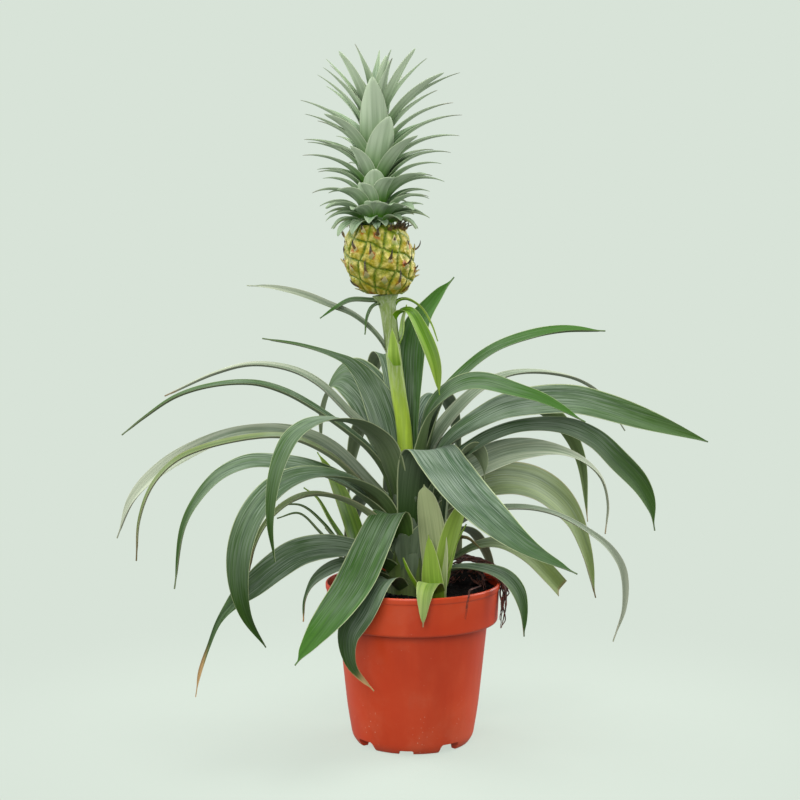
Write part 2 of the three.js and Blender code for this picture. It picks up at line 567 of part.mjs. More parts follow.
function stemSolid(extra = 0) {
  const [[x, y, foot, radius], ...above] = STEM_LINE;
  let stem = bar([[x, y, foot - extra, radius], ...above], STEM_SIDES, extra);
  STALK_LEAVES.forEach((leaf) => {
    stem = stem.add(strapLeaf(leaf, stalkAxis(leaf.line[0][1]), extra));
  });
  return stem;
}

function shootSolid(shoot, extra = 0) {
  const [x, y] = shoot.foot;
  const heart = [[x, y, SHOOT_FOOT - extra, shoot.heart], [x, y, 97, shoot.heart + 1], [x, y, 109, 2]];
  let solid = bar(heart, 8, extra);
  shoot.leaves.forEach((leaf) => {
    solid = solid.add(strapLeaf(leaf, new THREE.Vector3(x, y, 0), extra));
  });
  return solid;
}

function rootSolid(soil) {
  const heap = new THREE.SphereGeometry(1, 10, 7);
  const position = heap.attributes.position;
  const point = new THREE.Vector3();
  for (let i = 0; i < position.count; i += 1) {
    const { x, y, z } = point.fromBufferAttribute(position, i);
    const lump = 1 + 0.12 * Math.sin(5 * x + 2 * z) * Math.cos(4 * y) + 0.08 * Math.sin(9 * z + 3 * x);
    point.multiply(new THREE.Vector3(...ROOT_HEAP.radii)).multiplyScalar(lump);
    position.setXYZ(i, point.x, point.y, point.z);
  }
  heap.translate(...ROOT_HEAP.centre);
  let roots = solidOf(heap);
  ROOT_STRANDS.forEach(({ radius, line }) => {
    const curve = new THREE.CatmullRomCurve3(line.map((point) => new THREE.Vector3(...point)));
    const stations = curve.getPoints(7).map((point) => [point.x, point.y, point.z, radius]);
    roots = roots.add(bar(stations, 5));
  });
  return roots.subtract(soil.translate([0, 0, GAP]));
}

// Fruit: a barrel whose skin rises into an eye in each cell of a slanting lattice
function fruitRadius(t) {
  const { middle, power, topDraw, footDraw } = FRUIT_BARREL;
  const draw = t > middle ? topDraw : footDraw;
  return FRUIT_RADIUS * (1 - draw * (2 * Math.abs(t - middle)) ** power);
}

function fruitPoint(t, angle, lift) {
  const centre = FRUIT_BASE.clone().lerp(FRUIT_TOP, t);
  const radius = fruitRadius(t) + lift;
  return centre.add(new THREE.Vector3(radius * Math.cos(angle), radius * Math.sin(angle), 0));
}

// Lattice steps as [turn in radians, rise in millimetres]
function eyeSteps() {
  const girth = 2 * Math.PI * FRUIT_RADIUS;
  const steep = EYE_STEEP.clone();
  const shallow = new THREE.Vector2(girth - EYE_STEEP_TURNS * steep.x, -EYE_STEEP_TURNS * steep.y);
  shallow.divideScalar(EYE_SHALLOW_TURNS);
  const turn = (step) => [step.x / FRUIT_RADIUS, step.y];
  return [turn(steep), turn(shallow)];
}

function eyeLift(t, angle) {
  const [[a, b], [c, d]] = eyeSteps();
  const height = t * (FRUIT_TOP.z - FRUIT_BASE.z);
  const det = a * d - b * c;
  const u = (angle * d - height * c) / det;
  const v = (height * a - angle * b) / det;
  const nearest = Math.max(Math.abs(u - Math.round(u)), Math.abs(v - Math.round(v)));
  return EYE_RELIEF * Math.sqrt(Math.max(1 - (2 * nearest) ** 2, 0));
}

function fruitSolid() {
  const rings = [];
  for (let row = 0; row <= FRUIT_ROWS; row += 1) {
    const t = row / FRUIT_ROWS;
    const fade = Math.min(1, 5 * t, 5 * (1 - t));
    rings.push(Array.from({ length: FRUIT_SIDES }, (_, k) => {
      const angle = (2 * Math.PI * k) / FRUIT_SIDES;
      return fruitPoint(t, angle, fade * eyeLift(t, angle));
    }));
  }
  let fruit = loft(rings, false);
  const [[steepTurn, steepRise], [shallowTurn, shallowRise]] = eyeSteps();
  const height = FRUIT_TOP.z - FRUIT_BASE.z;
  for (let column = 0; column < EYE_SHALLOW_TURNS; column += 1) {
    for (let row = 0; row <= 7; row += 1) {
      const t = (row * steepRise + column * shallowRise) / height;
      const angle = row * steepTurn + column * shallowTurn;
      if (t > 0.1 && t < 0.93) fruit = fruit.add(driedBract(t, angle));
    }
  }
  return fruit;
}

// A dried bract stands off the middle of an eye and curls up
function driedBract(t, angle) {
  const out = new THREE.Vector3(Math.cos(angle), Math.sin(angle), 0);
  const root = fruitPoint(t, angle, EYE_RELIEF - 1);
  const along = (reach, rise) => root.clone()
    .addScaledVector(out, reach * BRACT_LENGTH)
    .add(new THREE.Vector3(0, 0, rise * BRACT_LENGTH));
  const points = [along(-0.15, -0.07), along(0.3, 0.1), along(0.55, 0.5)];
  return smallBlade(points, BRACT_WIDTHS, new THREE.Vector3(-out.y, out.x, 0), 0.8);
}

function coreRadius(rise) {
  const above = Math.max(CROWN_CORE.findIndex(([height]) => height >= rise), 1);
  const [low, high] = [CROWN_CORE[above - 1], CROWN_CORE[above]];
  return THREE.MathUtils.mapLinear(rise, low[0], high[0], low[1], high[1]);
}

// A size of the crown's leaves, t of the way up: it grows to the middle and drops near the top
function crownSize({ lowest, middle, top }, t) {
  return lowest + (middle - lowest) * smooth(t / 0.6) + (top - middle) * smooth((t - 0.75) / 0.25);
}

// Crown: leaves in a golden spiral up a slim core, short and bent back below, long and upright above
function crownSolid() {
  const [x, y, z] = CROWN_BASE.toArray();
  let crown = bar(CROWN_CORE.map(([height, radius]) => [x, y, z + height, radius]), 8);
  for (let k = 0; k < CROWN_LEAVES; k += 1) {
    const t = k / (CROWN_LEAVES - 1);
    const angle = radians(k * GOLDEN_ANGLE + 40);
    const out = new THREE.Vector3(Math.cos(angle), Math.sin(angle), 0);
    const rise = THREE.MathUtils.lerp(CROWN_FIRST_LEAF, CROWN_LAST_LEAF, t);
    const length = crownSize(CROWN_LENGTHS, t);
    const width = crownSize(CROWN_WIDTHS, t);
    const elevation = radians(THREE.MathUtils.lerp(CROWN_SLOPES.lowest, CROWN_SLOPES.top, t));
    const bend = radians(THREE.MathUtils.lerp(CROWN_BENDS.lowest, CROWN_BENDS.top, t));
    const steps = CROWN_LEAF_SHAPE.length - 1;
    const point = CROWN_BASE.clone().add(new THREE.Vector3(0, 0, rise));
    point.addScaledVector(out, Math.max(coreRadius(rise) - 1.2, 0.5));
    const points = [point.clone()];
    for (let i = 1; i <= steps; i += 1) {
      const slope = elevation - bend * (i / steps) ** 1.4;
      point.addScaledVector(out, (length / steps) * Math.cos(slope));
      point.z += (length / steps) * Math.sin(slope);
      points.push(point.clone());
    }
    const widths = CROWN_LEAF_SHAPE.map((share) => Math.max(share * width, 1));
    const sideway = new THREE.Vector3(-out.y, out.x, 0);
    crown = crown.add(smallBlade(points, widths, sideway, CROWN_LEAF_THICKNESS));
  }
  return crown;
}

function mesh(name, solid, colour) {
  const material = new THREE.MeshStandardMaterial({ color: colour, roughness: 0.7, metalness: 0 });
  const part = new THREE.Mesh(geometryOf(solid), material);
  part.name = name;
  return part;
}

// The long leaves, each cut clear of the given solids and of the leaves inside it
function leafSolids(others) {
  const cutters = [...others];
  return LEAVES.map((leaf) => {
    const solid = cutters.reduce((rest, cutter) => rest.subtract(cutter), strapLeaf(leaf, ROSETTE_AXIS));
    cutters.push(strapLeaf(leaf, ROSETTE_AXIS, GAP));
    return solid;
  });
}

const plant = new THREE.Group();
plant.name = "potted_pineapple_plant";

const plantCutters = [stemSolid(GAP), ...SHOOTS.map((shoot) => shootSolid(shoot, GAP))];
const soil = plantCutters.reduce((rest, cutter) => rest.subtract(cutter), soilSolid());

plant.add(mesh("pot", potSolid(), COLOURS.pot));
plant.add(mesh("soil", soil, COLOURS.soil));
plant.add(mesh("root_strands", rootSolid(soil), COLOURS.roots));
plant.add(mesh("stem", stemSolid(), COLOURS.stem));
SHOOTS.forEach((shoot) => {
  plant.add(mesh(shoot.name, shootSolid(shoot), COLOURS.shoot));
});
const leafCutters = [...plantCutters, soil.translate([0, 0, GAP])];
leafSolids(leafCutters).forEach((solid, i) => {
  const name = `leaf_${String(i + 1).padStart(2, "0")}`;
  plant.add(mesh(name, solid, LEAVES[i].pale ? COLOURS.paleLeaf : COLOURS.leaf));
});
plant.add(mesh("fruit", fruitSolid().subtract(stemSolid(GAP + SIMPLIFY)), COLOURS.fruit));
plant.add(mesh("crown", crownSolid(), COLOURS.crown));

export default plant;
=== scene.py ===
"""The looks of the potted pineapple plant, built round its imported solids: metres, +Z up, -Y the front."""

from __future__ import annotations

import logging
import random
from collections.abc import Sequence
from dataclasses import dataclass, field, replace
from enum import Enum
from functools import cache
from math import atan2, cos, degrees, exp, hypot, pi, radians, sin, sqrt

import bpy
import numpy as np
from bpy.types import ID, Material, Mesh, Node, NodeSocket, NodeTree, Object
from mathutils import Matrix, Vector, noise

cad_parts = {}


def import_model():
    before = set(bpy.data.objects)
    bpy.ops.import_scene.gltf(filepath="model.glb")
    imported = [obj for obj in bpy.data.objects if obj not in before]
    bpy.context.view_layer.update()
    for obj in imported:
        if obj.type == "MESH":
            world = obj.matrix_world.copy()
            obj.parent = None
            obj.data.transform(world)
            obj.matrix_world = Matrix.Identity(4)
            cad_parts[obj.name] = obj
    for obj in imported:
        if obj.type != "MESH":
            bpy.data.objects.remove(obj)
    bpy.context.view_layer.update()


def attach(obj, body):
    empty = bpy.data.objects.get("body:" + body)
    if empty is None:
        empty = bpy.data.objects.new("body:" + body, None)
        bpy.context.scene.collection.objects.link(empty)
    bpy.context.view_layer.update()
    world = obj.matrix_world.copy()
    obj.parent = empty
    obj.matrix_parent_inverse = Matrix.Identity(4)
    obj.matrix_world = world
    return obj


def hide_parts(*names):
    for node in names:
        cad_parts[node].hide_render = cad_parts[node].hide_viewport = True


log = logging.getLogger("pineapple")

Pair = tuple[float, float]
Point = tuple[float, float, float]
Colour = tuple[int, int, int]
Row = tuple[float, ...]
Faces = list[tuple[int, ...]]
Strand = tuple[np.ndarray, np.ndarray]

MM = 0.001
GOLDEN_ANGLE = 137.508
BODY = "root"

# The stalk leans to the left: [x, y, z, radius] up its middle line, in millimetres
STEM_LINE = (
    (-3, 0, 76, 12.5), (-3, 0, 95, 14.8), (-3, 0, 110, 14), (-3.2, 0, 130, 11), (-3.6, 0, 148, 7.6),
    (-4, 0, 164, 5.4), (-5.6, 0, 198, 4.8), (-8.8, 0, 220, 4.7), (-12, 0, 244, 4.7), (-14.4, 0, 264, 4.8),
    (-16.1, 0, 276.5, 5.6), (-17.1, 0, 282.6, 8.6),
)
ROSETTE_AXIS = (-3.0, 0.0)


def smooth(value: np.ndarray | float) -> np.ndarray | float:
    """The smooth step of a value between 0 and 1."""
    held = np.clip(value, 0, 1)
    return held * held * (3 - 2 * held)


def lerp(low: float, high: float, share: np.ndarray | float) -> np.ndarray | float:
    """The value a share of the way from low to high."""
    return low + (high - low) * share


def unit(vectors: np.ndarray) -> np.ndarray:
    """Rows of vectors, each made one long."""
    return vectors / np.maximum(np.linalg.norm(vectors, axis=-1, keepdims=True), 1e-9)


def round_angles(count: int) -> np.ndarray:
    """Angles at even steps once round."""
    return np.linspace(0, 2 * pi, count, endpoint=False)


def put(name: str, data: ID) -> Object:
    """A new object of some data, in the scene."""
    bpy.context.scene.collection.objects.link(made := bpy.data.objects.new(name, data))
    return made


def carry(mesh: Mesh, name: str, values: Sequence[float]) -> None:
    """Gives each point of a mesh a number."""
    mesh.attributes.new(name, "FLOAT", "POINT").data.foreach_set("value", values)


def read_values(mesh: Mesh, name: str) -> np.ndarray:
    """A number that a mesh's points carry."""
    return np.array([item.value for item in mesh.attributes[name].data])


@cache
def shade(*colour: int) -> Row:
    """A colour as a screen shows it, each part 0 to 255, made linear and opaque as a shader takes it."""
    parts = (part / 255 for part in colour)
    return (*(p / 12.92 if p <= 0.04045 else ((p + 0.055) / 1.055) ** 2.4 for p in parts), 1.0)


class Field:
    """A value in a node tree, which can be reckoned with like a number."""

    def __init__(self, graph: Graph, socket: NodeSocket) -> None:
        """Wraps one output socket of a graph's node."""
        self.graph = graph
        self.socket = socket

    def __add__(self, other: Field | float) -> Field:
        """The sum."""
        return self.graph.math("ADD", self, other)

    def __sub__(self, other: Field | float) -> Field:
        """The difference."""
        return self.graph.math("SUBTRACT", self, other)

    def __mul__(self, other: Field | float) -> Field:
        """The product."""
        return self.graph.math("MULTIPLY", self, other)

    def __truediv__(self, other: Field | float) -> Field:
        """The quotient."""
        return self.graph.math("DIVIDE", self, other)


class Graph:
    """Adds nodes to one shader or geometry tree and joins them."""

    def __init__(self, tree: NodeTree) -> None:
        """Starts on a tree, which may already hold nodes."""
        self.tree = tree
        self.shader: Node | None = None

    def add(self, kind: str, inputs: dict | None = None, **settings: object) -> Node:
        """Adds a node.

        Args:
            kind: the node's type name.
            inputs: what goes into its sockets, by their name or number: a value, a Field or a node.
            settings: the node's own properties.

        Returns:
            The new node.
        """
        node = self.tree.nodes.new(kind)
        for name, value in settings.items():
            setattr(node, name, value)
        for key, value in (inputs or {}).items():
            self.feed(node.inputs[key], value)
        return node

    def feed(self, socket: NodeSocket, value: object) -> None:
        """Joins a Field or a node's first output to a socket, or sets a plain value there."""
        if isinstance(value, (Field, Node)):
            self.tree.links.new(value.socket if isinstance(value, Field) else value.outputs[0], socket)
        else:
            socket.default_value = value

    def dress(self, **values: object) -> None:
        """Feeds the shader's sockets, named with underscores for spaces."""
        for name, value in values.items():
            self.feed(self.shader.inputs[name.replace("_", " ")], value)

    def out(self, node: Node, name: str | int = 0) -> Field:
        """One of a node's outputs."""
        return Field(self, node.outputs[name])

    def math(self, operation: str, *values: Field | float) -> Field:
        """A reckoning with one, two or three numbers."""
        return self.out(self.add("ShaderNodeMath", dict(enumerate(values)), operation=operation))

    def spread(self, value: Field, low: float, high: float, to_low: float = 0, to_high: float = 1) -> Field:
        """A value's range, smoothly mapped onto another and held there."""
        inputs = {0: value, 1: low, 2: high, 3: to_low, 4: to_high}
        return self.out(self.add("ShaderNodeMapRange", inputs, interpolation_type="SMOOTHSTEP"))

    def mix(self, share: Field | float, first: object, second: object, blend: str = "MIX") -> Field:
        """Two colours mixed."""
        inputs = {0: share, 6: first, 7: second}
        return self.out(self.add("ShaderNodeMix", inputs, data_type="RGBA", blend_type=blend), 2)

    def over(self, base: object, paint: Colour, value: Field, *span: float) -> Field:
        """Paint laid over a colour as far as a value's span, mapped by spread, says."""
        return self.mix(self.spread(value, *span), base, shade(*paint))

    def dimmed(self, colour: Field, red: float, green: float, blue: float) -> Field:
        """A colour multiplied by a linear one."""
        return self.mix(1.0, colour, (red, green, blue, 1), "MULTIPLY")

    def noise(self, vector: Field | Node, scale: float, detail: float = 3, rough: float = 0.5) -> Field:
        """Cloudy noise, about 0.5 in the middle."""
        inputs = {"Vector": vector, "Scale": scale, "Detail": detail, "Roughness": rough}
        return self.out(self.add("ShaderNodeTexNoise", inputs), 0)

    def streaks(self, vector: Field, scale: Point, detail: float, rough: float = 0.5) -> Field:
        """Noise with a scale for each axis."""
        mapping = self.add("ShaderNodeMapping", {"Vector": vector, "Scale": scale})
        return self.noise(mapping, 1, detail, rough)

    def place(self) -> Field:
        """Where the point lies on its own object."""
        return self.out(self.add("ShaderNodeTexCoord"), "Object")

    def blade(self) -> Field:
        """Where the point lies across and along its leaf."""
        return self.out(self.add("ShaderNodeUVMap", uv_map="blade"))

    def height_of(self, place: Field) -> Field:
        """The height of a place."""
        return self.out(self.add("ShaderNodeSeparateXYZ", {0: place}), "Z")

    def attribute(self, name: str) -> Field:
        """A number that the mesh carries."""
        return self.out(self.add("ShaderNodeAttribute", attribute_name=name), "Fac")

    def bump(self, height: Field, distance: float, strength: float = 1) -> Field:
        """A surface normal from a height in metres."""
        inputs = {"Height": height, "Distance": distance, "Strength": strength}
        return self.out(self.add("ShaderNodeBump", inputs), "Normal")


class Finish:
    """A surface finish that makes its own material."""

    name: str

    @cache
    def material(self) -> Material:
        """Makes the material once.

        Returns:
            The material, the same at every call.
        """
        made = bpy.data.materials.new(self.name)
        made.use_nodes = True
        made.node_tree.nodes.clear()
        graph = Graph(made.node_tree)
        graph.shader = graph.add("ShaderNodeBsdfPrincipled")
        graph.add("ShaderNodeOutputMaterial", {"Surface": graph.shader})
        self.paint(graph)
        return made

    def paint(self, graph: Graph) -> None:
        """Adds the finish's own nodes to the material's tree and dresses its shader."""
        raise NotImplementedError


@dataclass(frozen=True)
class LeafFinish(Finish):
    """A living leaf: green with fine lengthwise lines, a grey bloom of scurf and pale margins."""

    name: str
    foot: Colour
    middle: Colour
    tip: Colour
    under: Colour
    margin: Colour = (186, 198, 150)
    dry: Colour = (158, 140, 104)
    scurf: float = 0.2
    lines: float = 820
    roughness: float = 0.5
    foot_end: float = 0.3
    variety: float = 0.28
    rim: float = 0.7

    def paint(self, graph: Graph) -> None:
        """Paints the blade from foot to tip, its lines, scurf, margins, underside and dry tip.

        Args:
            graph: the material's tree.
        """
        blade = graph.blade()
        place = graph.place()
        along, under, tint, margin = map(graph.attribute, ("along", "under", "tint", "margin"))

        lines = graph.streaks(blade, (self.lines, 12, 1), 2.5, 0.6)
        bands = graph.streaks(blade, (self.lines * 0.3, 5, 1), 2)
        clouds = graph.noise(place, 26, 3)
        grain = graph.streaks(blade, (self.lines * 1.7, 34, 1), 2, 0.6)
        soft_tip = graph.spread(along, 0.55, 0.95, 1, 0.3)

        green = graph.over(shade(*self.foot), self.middle, along, 0.02, self.foot_end)
        green = graph.over(green, self.tip, along + margin * 0.14 - tint * 0.12, 0.42, 0.95)
        green = graph.over(green, self.tip, bands, 0.4, 0.62, 0, 0.4)
        darker = graph.dimmed(green, 0.42, 0.52, 0.42)
        green = graph.mix(graph.spread(lines, 0.38, 0.62, 0.68, 0) * soft_tip, green, darker)
        deep = graph.dimmed(green, 0.55, 0.62, 0.58)
        green = graph.mix(graph.spread(bands, 0.38, 0.52, 0.6, 0), green, deep)
        # Each leaf's tint is a random tone; on the crown it also carries painted shade, and a low tint
        # darkens the green here and thins the bloom below.
        chance = tint * 0.6 + clouds * 0.4
        green = graph.mix(graph.spread(chance, 0.2, 0.8, self.variety, 0), green, deep)

        bloom = graph.spread(grain * 0.65 + clouds * 0.35, 0.4, 0.64, 0, self.scurf)
        bloom = bloom * graph.spread(along, 0.45, 0.92, 1, 0.15)
        bloom = bloom * graph.spread(tint, 0, 0.5, 1 - 0.6 * self.variety, 1)
        upper = graph.mix(bloom, green, shade(182, 196, 180))
        pale = graph.over(shade(*self.foot), self.under, along, 0.02, self.foot_end)
        pale_lines = graph.dimmed(pale, 0.6, 0.66, 0.58)
        lower = graph.mix(graph.spread(lines, 0.36, 0.64, 0.75, 0) * soft_tip, pale, pale_lines)
        colour = graph.mix(under, upper, lower)
        rim = graph.spread(margin + (lines - 0.5) * 0.06, 0.94, 0.99)
        colour = graph.mix(rim * self.rim, colour, shade(*self.margin))
        colour = graph.mix(graph.attribute("dry"), colour, shade(*self.dry))

        height = (lines * 0.7 + bands * 0.5 + grain * 0.1) * soft_tip
        smoothest, roughest = self.roughness - 0.08, self.roughness + 0.14
        rough = graph.spread(grain * 0.5 + lines * 0.5, 0.3, 0.7, smoothest, roughest)
        rough = rough + graph.spread(along, 0.4, 0.95, 0, 0.16)
        normal = graph.bump(height, 0.00035, 0.42)
        graph.dress(Base_Color=colour, Roughness=rough, Normal=normal,
                    Specular_IOR_Level=0.2, Sheen_Weight=0.04, Sheen_Roughness=0.45)


class Tone(Enum):
    """The kinds of leaf on the plant, by their finish."""

    SAGE = LeafFinish("leaf_sage", (64, 92, 30), (90, 115, 82), (58, 92, 24), (117, 132, 98),
        dry=(196, 160, 110), scurf=0.4)
    DEEP = LeafFinish("leaf_deep", (50, 78, 28), (72, 100, 72), (46, 80, 25), (100, 116, 90), scurf=0.42)
    GREEN = LeafFinish("leaf_green", (58, 92, 16), (70, 102, 50), (60, 108, 20), (102, 124, 74), scurf=0.3)
    ASH = LeafFinish("leaf_ash", (76, 98, 48), (134, 148, 120), (186, 192, 168), (160, 170, 148),
        margin=(206, 206, 178), dry=(168, 150, 118), scurf=0.34)
    OLIVE = LeafFinish("leaf_olive", (84, 106, 44), (134, 150, 100), (116, 134, 70), (150, 160, 122),
        margin=(180, 176, 138), dry=(118, 106, 70), scurf=0.3)
    PALE = LeafFinish("leaf_pale", (128, 172, 24), (182, 196, 130), (166, 180, 136), (188, 200, 146),
        margin=(214, 220, 176), scurf=0.2, foot_end=0.45)
    YOUNG = LeafFinish("leaf_young", (118, 164, 14), (156, 190, 60), (170, 188, 108), (162, 194, 80),
        margin=(208, 220, 150), scurf=0.12, lines=700, roughness=0.42, foot_end=0.6)
    LIME = LeafFinish("leaf_lime", (104, 152, 6), (110, 154, 20), (136, 164, 56), (124, 166, 34),
        margin=(206, 214, 140), scurf=0.08, lines=700, roughness=0.4, foot_end=0.5)
    CROWN = LeafFinish("crown_leaf", (72, 126, 8), (148, 174, 130), (176, 192, 158), (198, 216, 184),
        margin=(222, 230, 196), dry=(168, 164, 148), scurf=0.55, lines=560, roughness=0.5,
        foot_end=0.68, variety=0.75, rim=0.3)


@dataclass(frozen=True)
class StalkFinish(Finish):
    """The stalk's skin: dark green at its foot, painted as the shade among the leaf bases, yellow-green above
    that, whitish green with a mealy bloom higher up.
    """

    name: str = "stalk_skin"

    def paint(self, graph: Graph) -> None:
        """Paints the change of green up the stalk, with painted shade at its foot, its length lines and its
        bloom.

        Args:
            graph: the material's tree.
        """
        place = graph.place()
        height = graph.height_of(place)
        streaks = graph.streaks(place, (420, 420, 30), 4, 0.6)
        meal = graph.streaks(place, (760, 760, 110), 4, 0.7)
        # Painted shade: below 12.5 cm, down among the leaf bases, the stalk starts dark green.
        green = graph.over(shade(58, 74, 22), (182, 210, 60), height, 0.125, 0.16)
        green = graph.over(green, (142, 164, 84), height, 0.205, 0.25)
        green = graph.over(green, (150, 172, 96), height, 0.24, 0.275)
        green = graph.over(green, (104, 134, 44), streaks, 0.4, 0.7, 0.4, 0)
        bloom = graph.spread(meal, 0.42, 0.62, 0, 0.5) * graph.spread(height, 0.2, 0.26, 0.04, 1)
        colour = graph.mix(bloom, green, shade(196, 206, 176))
        normal = graph.bump(streaks * 0.8 + meal * 0.3, 0.0004, 0.6)
        graph.dress(Base_Color=colour, Normal=normal, Roughness=0.52, Sheen_Weight=0.1)


@dataclass(frozen=True)
class PotFinish(Finish):
    """Moulded terracotta-coloured plastic with a soft gloss, dust specks and a dusty foot."""

    name: str = "terracotta_plastic"
    colour: Colour = (212, 66, 24)
    dust: Colour = (226, 180, 150)

    def paint(self, graph: Graph) -> None:
        """Paints the plastic, its flow marks, and the dust and soil on it.

        Args:
            graph: the material's tree.
        """
        place = graph.place()
        height = graph.height_of(place)
        clouds = graph.noise(place, 22, 4, 0.55)
        flow = graph.streaks(place, (60, 60, 9), 3)
        plastic = graph.over(shade(*self.colour), (218, 78, 36), clouds, 0.35, 0.68)
        plastic = graph.over(plastic, (182, 46, 14), flow, 0.42, 0.7, 0, 0.3)

        specks = graph.out(graph.add("ShaderNodeTexVoronoi", {"Vector": place, "Scale": 420.0}), "Distance")
        where = graph.noise(place, 60, 3, 0.7)
        low = graph.spread(height, 0.0, 0.04, 0.1, 0)
        speck = graph.spread(specks, 0.1, 0.2, 1, 0) * graph.spread(where + low, 0.6, 0.72)
        film = graph.spread(graph.noise(place, 45, 5, 0.7) + low, 0.52, 0.74, 0, 0.12)
        colour = graph.mix(film, plastic, shade(206, 122, 92))
        colour = graph.mix(speck * 0.7, colour, shade(*self.dust))

        orange_peel = graph.noise(place, 700, 2)
        rough = graph.spread(clouds + film, 0.35, 0.9, 0.33, 0.52)
        normal = graph.bump(orange_peel * 0.3 + speck * 0.6 + flow * 0.4, 0.00022, 0.5)
        graph.dress(Base_Color=colour, Roughness=rough, Normal=normal, Specular_IOR_Level=0.5)


@dataclass(frozen=True)
class SoilFinish(Finish):
    """Damp dark peat with brown fibre in it."""

    name: str = "potting_soil"

    def paint(self, graph: Graph) -> None:
        """Paints dark crumbs, with lighter and redder bits among them.

        Args:
            graph: the material's tree.
        """
        place = graph.place()
        lumps = graph.noise(place, 240, 4, 0.65)
        bits = graph.noise(place, 620, 2, 0.6)
        colour = graph.over(shade(4, 3, 3), (15, 10, 8), lumps, 0.4, 0.66)
        colour = graph.over(colour, (84, 56, 44), bits, 0.64, 0.74, 0, 0.6)
        normal = graph.bump(lumps + bits * 0.5, 0.0012, 0.9)
        graph.dress(Base_Color=colour, Normal=normal, Roughness=0.72, Specular_IOR_Level=0.2)


@dataclass(frozen=True)
class RootFinish(Finish):
    """Stringy reddish-brown roots with soil on them."""

    name: str = "fibrous_roots"

    def paint(self, graph: Graph) -> None:
        """Paints brown strands with darker and paler stretches.

        Args:
            graph: the material's tree.
        """
        place = graph.place()
        fibre = graph.streaks(place, (500, 500, 160), 4, 0.7)
        patches = graph.noise(place, 90, 3)
        colour = graph.over(shade(52, 24, 16), (118, 62, 44), fibre, 0.38, 0.66)
        colour = graph.over(colour, (40, 22, 17), patches, 0.5, 0.7, 0, 0.6)
        graph.dress(Base_Color=colour, Normal=graph.bump(fibre, 0.0005, 0.8), Roughness=0.68)


@dataclass(frozen=True)
class FruitFinish(Finish):
    """The fruit's skin: yellow eyes in green seams, with a painted pale yellow highlight along their ridges
    and rusty middles.
    """

    name: str = "fruit_skin"

    def paint(self, graph: Graph) -> None:
        """Paints each eye from its own values: how near the seam, its middle, its chance tint and height.

        Args:
            graph: the material's tree.
        """
        place = graph.place()
        names = ("seam", "middle", "chance", "rise", "ridge")
        seam, middle, chance, rise, ridge = map(graph.attribute, names)
        mottle = graph.noise(place, 230, 4, 0.65)
        fine = graph.noise(place, 800, 3, 0.6)
        patches = graph.noise(place, 110, 3, 0.6)

        flesh = graph.over(shade(134, 148, 12), (176, 158, 20), chance, 0.1, 0.9)
        flesh = graph.over(flesh, (104, 126, 24), patches, 0.4, 0.62, 0.7, 0)
        flesh = graph.over(flesh, (214, 200, 84), mottle, 0.44, 0.64, 0, 0.6)
        flesh = graph.over(flesh, (132, 150, 24), rise, 0.66, 1.0, 0, 0.5)
        flesh = graph.over(flesh, (196, 164, 40), rise, 0.26, 0.0, 0, 0.5)
        # Painted highlight: the eyes' ridges are painted pale yellow, more so away from each eye's middle and
        # where the mottle is light.
        ridge_highlight = ridge * graph.spread(middle, 0.15, 0.55, 0.2, 1) * graph.spread(mottle, 0.34, 0.56, 0.3, 1)
        flesh = graph.mix(ridge_highlight * 0.8, flesh, shade(232, 218, 122))
        green = graph.over(shade(80, 106, 8), (126, 148, 24), fine, 0.4, 0.65)
        edge = graph.spread(seam + (mottle - 0.5) * 0.7, 0.56, 1.0)
        colour = graph.mix(edge, flesh, green)
        near = graph.spread(middle + (mottle - 0.5) * 1.1, 0.1, 0.55, 1, 0)
        colour = graph.mix(graph.spread(chance, 0.35, 0.75, 0, 0.9) * near, colour, shade(184, 96, 40))
        core = graph.spread(middle + (fine - 0.5) * 0.4, 0.08, 0.26, 0.85, 0)
        colour = graph.mix(core, colour, shade(92, 54, 28))

        normal = graph.bump(mottle * 0.9 + fine * 0.35, 0.0012, 0.85)
        graph.dress(Base_Color=colour, Normal=normal, Roughness=0.46,
                    Specular_IOR_Level=0.34, Coat_Weight=0.06, Coat_Roughness=0.3)


@dataclass(frozen=True)
class BractFinish(Finish):
    """Small bracts on the fruit: pale green-grey at the foot, dried dark brown to the tip."""

    name: str
    foot: Colour
    tip: Colour

    def paint(self, graph: Graph) -> None:
        """Paints the bract from foot to tip with papery streaks.

        Args:
            graph: the material's tree.
        """
        blade = graph.blade()
        streaks = graph.streaks(blade, (9, 60, 1), 3, 0.6)
        share = graph.spread(graph.attribute("along") + (streaks - 0.5) * 0.4, 0.15, 0.7)
        colour = graph.mix(share, shade(*self.foot), shade(*self.tip))
        colour = graph.over(colour, (206, 196, 150), streaks, 0.45, 0.7, 0, 0.35)
        graph.dress(Base_Color=colour, Normal=graph.bump(streaks, 0.0003, 0.6), Roughness=0.6)


@dataclass(frozen=True)
class FloorFinish(Finish):
    """The pale floor, which takes soft shadow near the pot and clears into the backdrop further out."""

    name: str = "pale_floor"
    colour: tuple[float, float, float, float] = (0.56, 0.635, 0.56, 1.0)
    near: float = 0.08
    far: float = 0.4
    clear: float = 0.8

    def paint(self, graph: Graph) -> None:
        """Mixes a lit floor near the middle into clear air further out.

        Args:
            graph: the material's tree.
        """
        place = graph.place()
        distance = graph.out(graph.add("ShaderNodeVectorMath", {0: place}, operation="LENGTH"), "Value")
        share = graph.spread(distance, self.near, self.far, self.clear, 1)
        graph.dress(Base_Color=self.colour, Roughness=0.9, Specular_IOR_Level=0.0)
        clear = graph.add("ShaderNodeBsdfTransparent")
        both = graph.add("ShaderNodeMixShader", {0: share, 1: graph.shader, 2: clear})
        output = next(node for node in graph.tree.nodes if node.type == "OUTPUT_MATERIAL")
        graph.feed(output.inputs["Surface"], both)


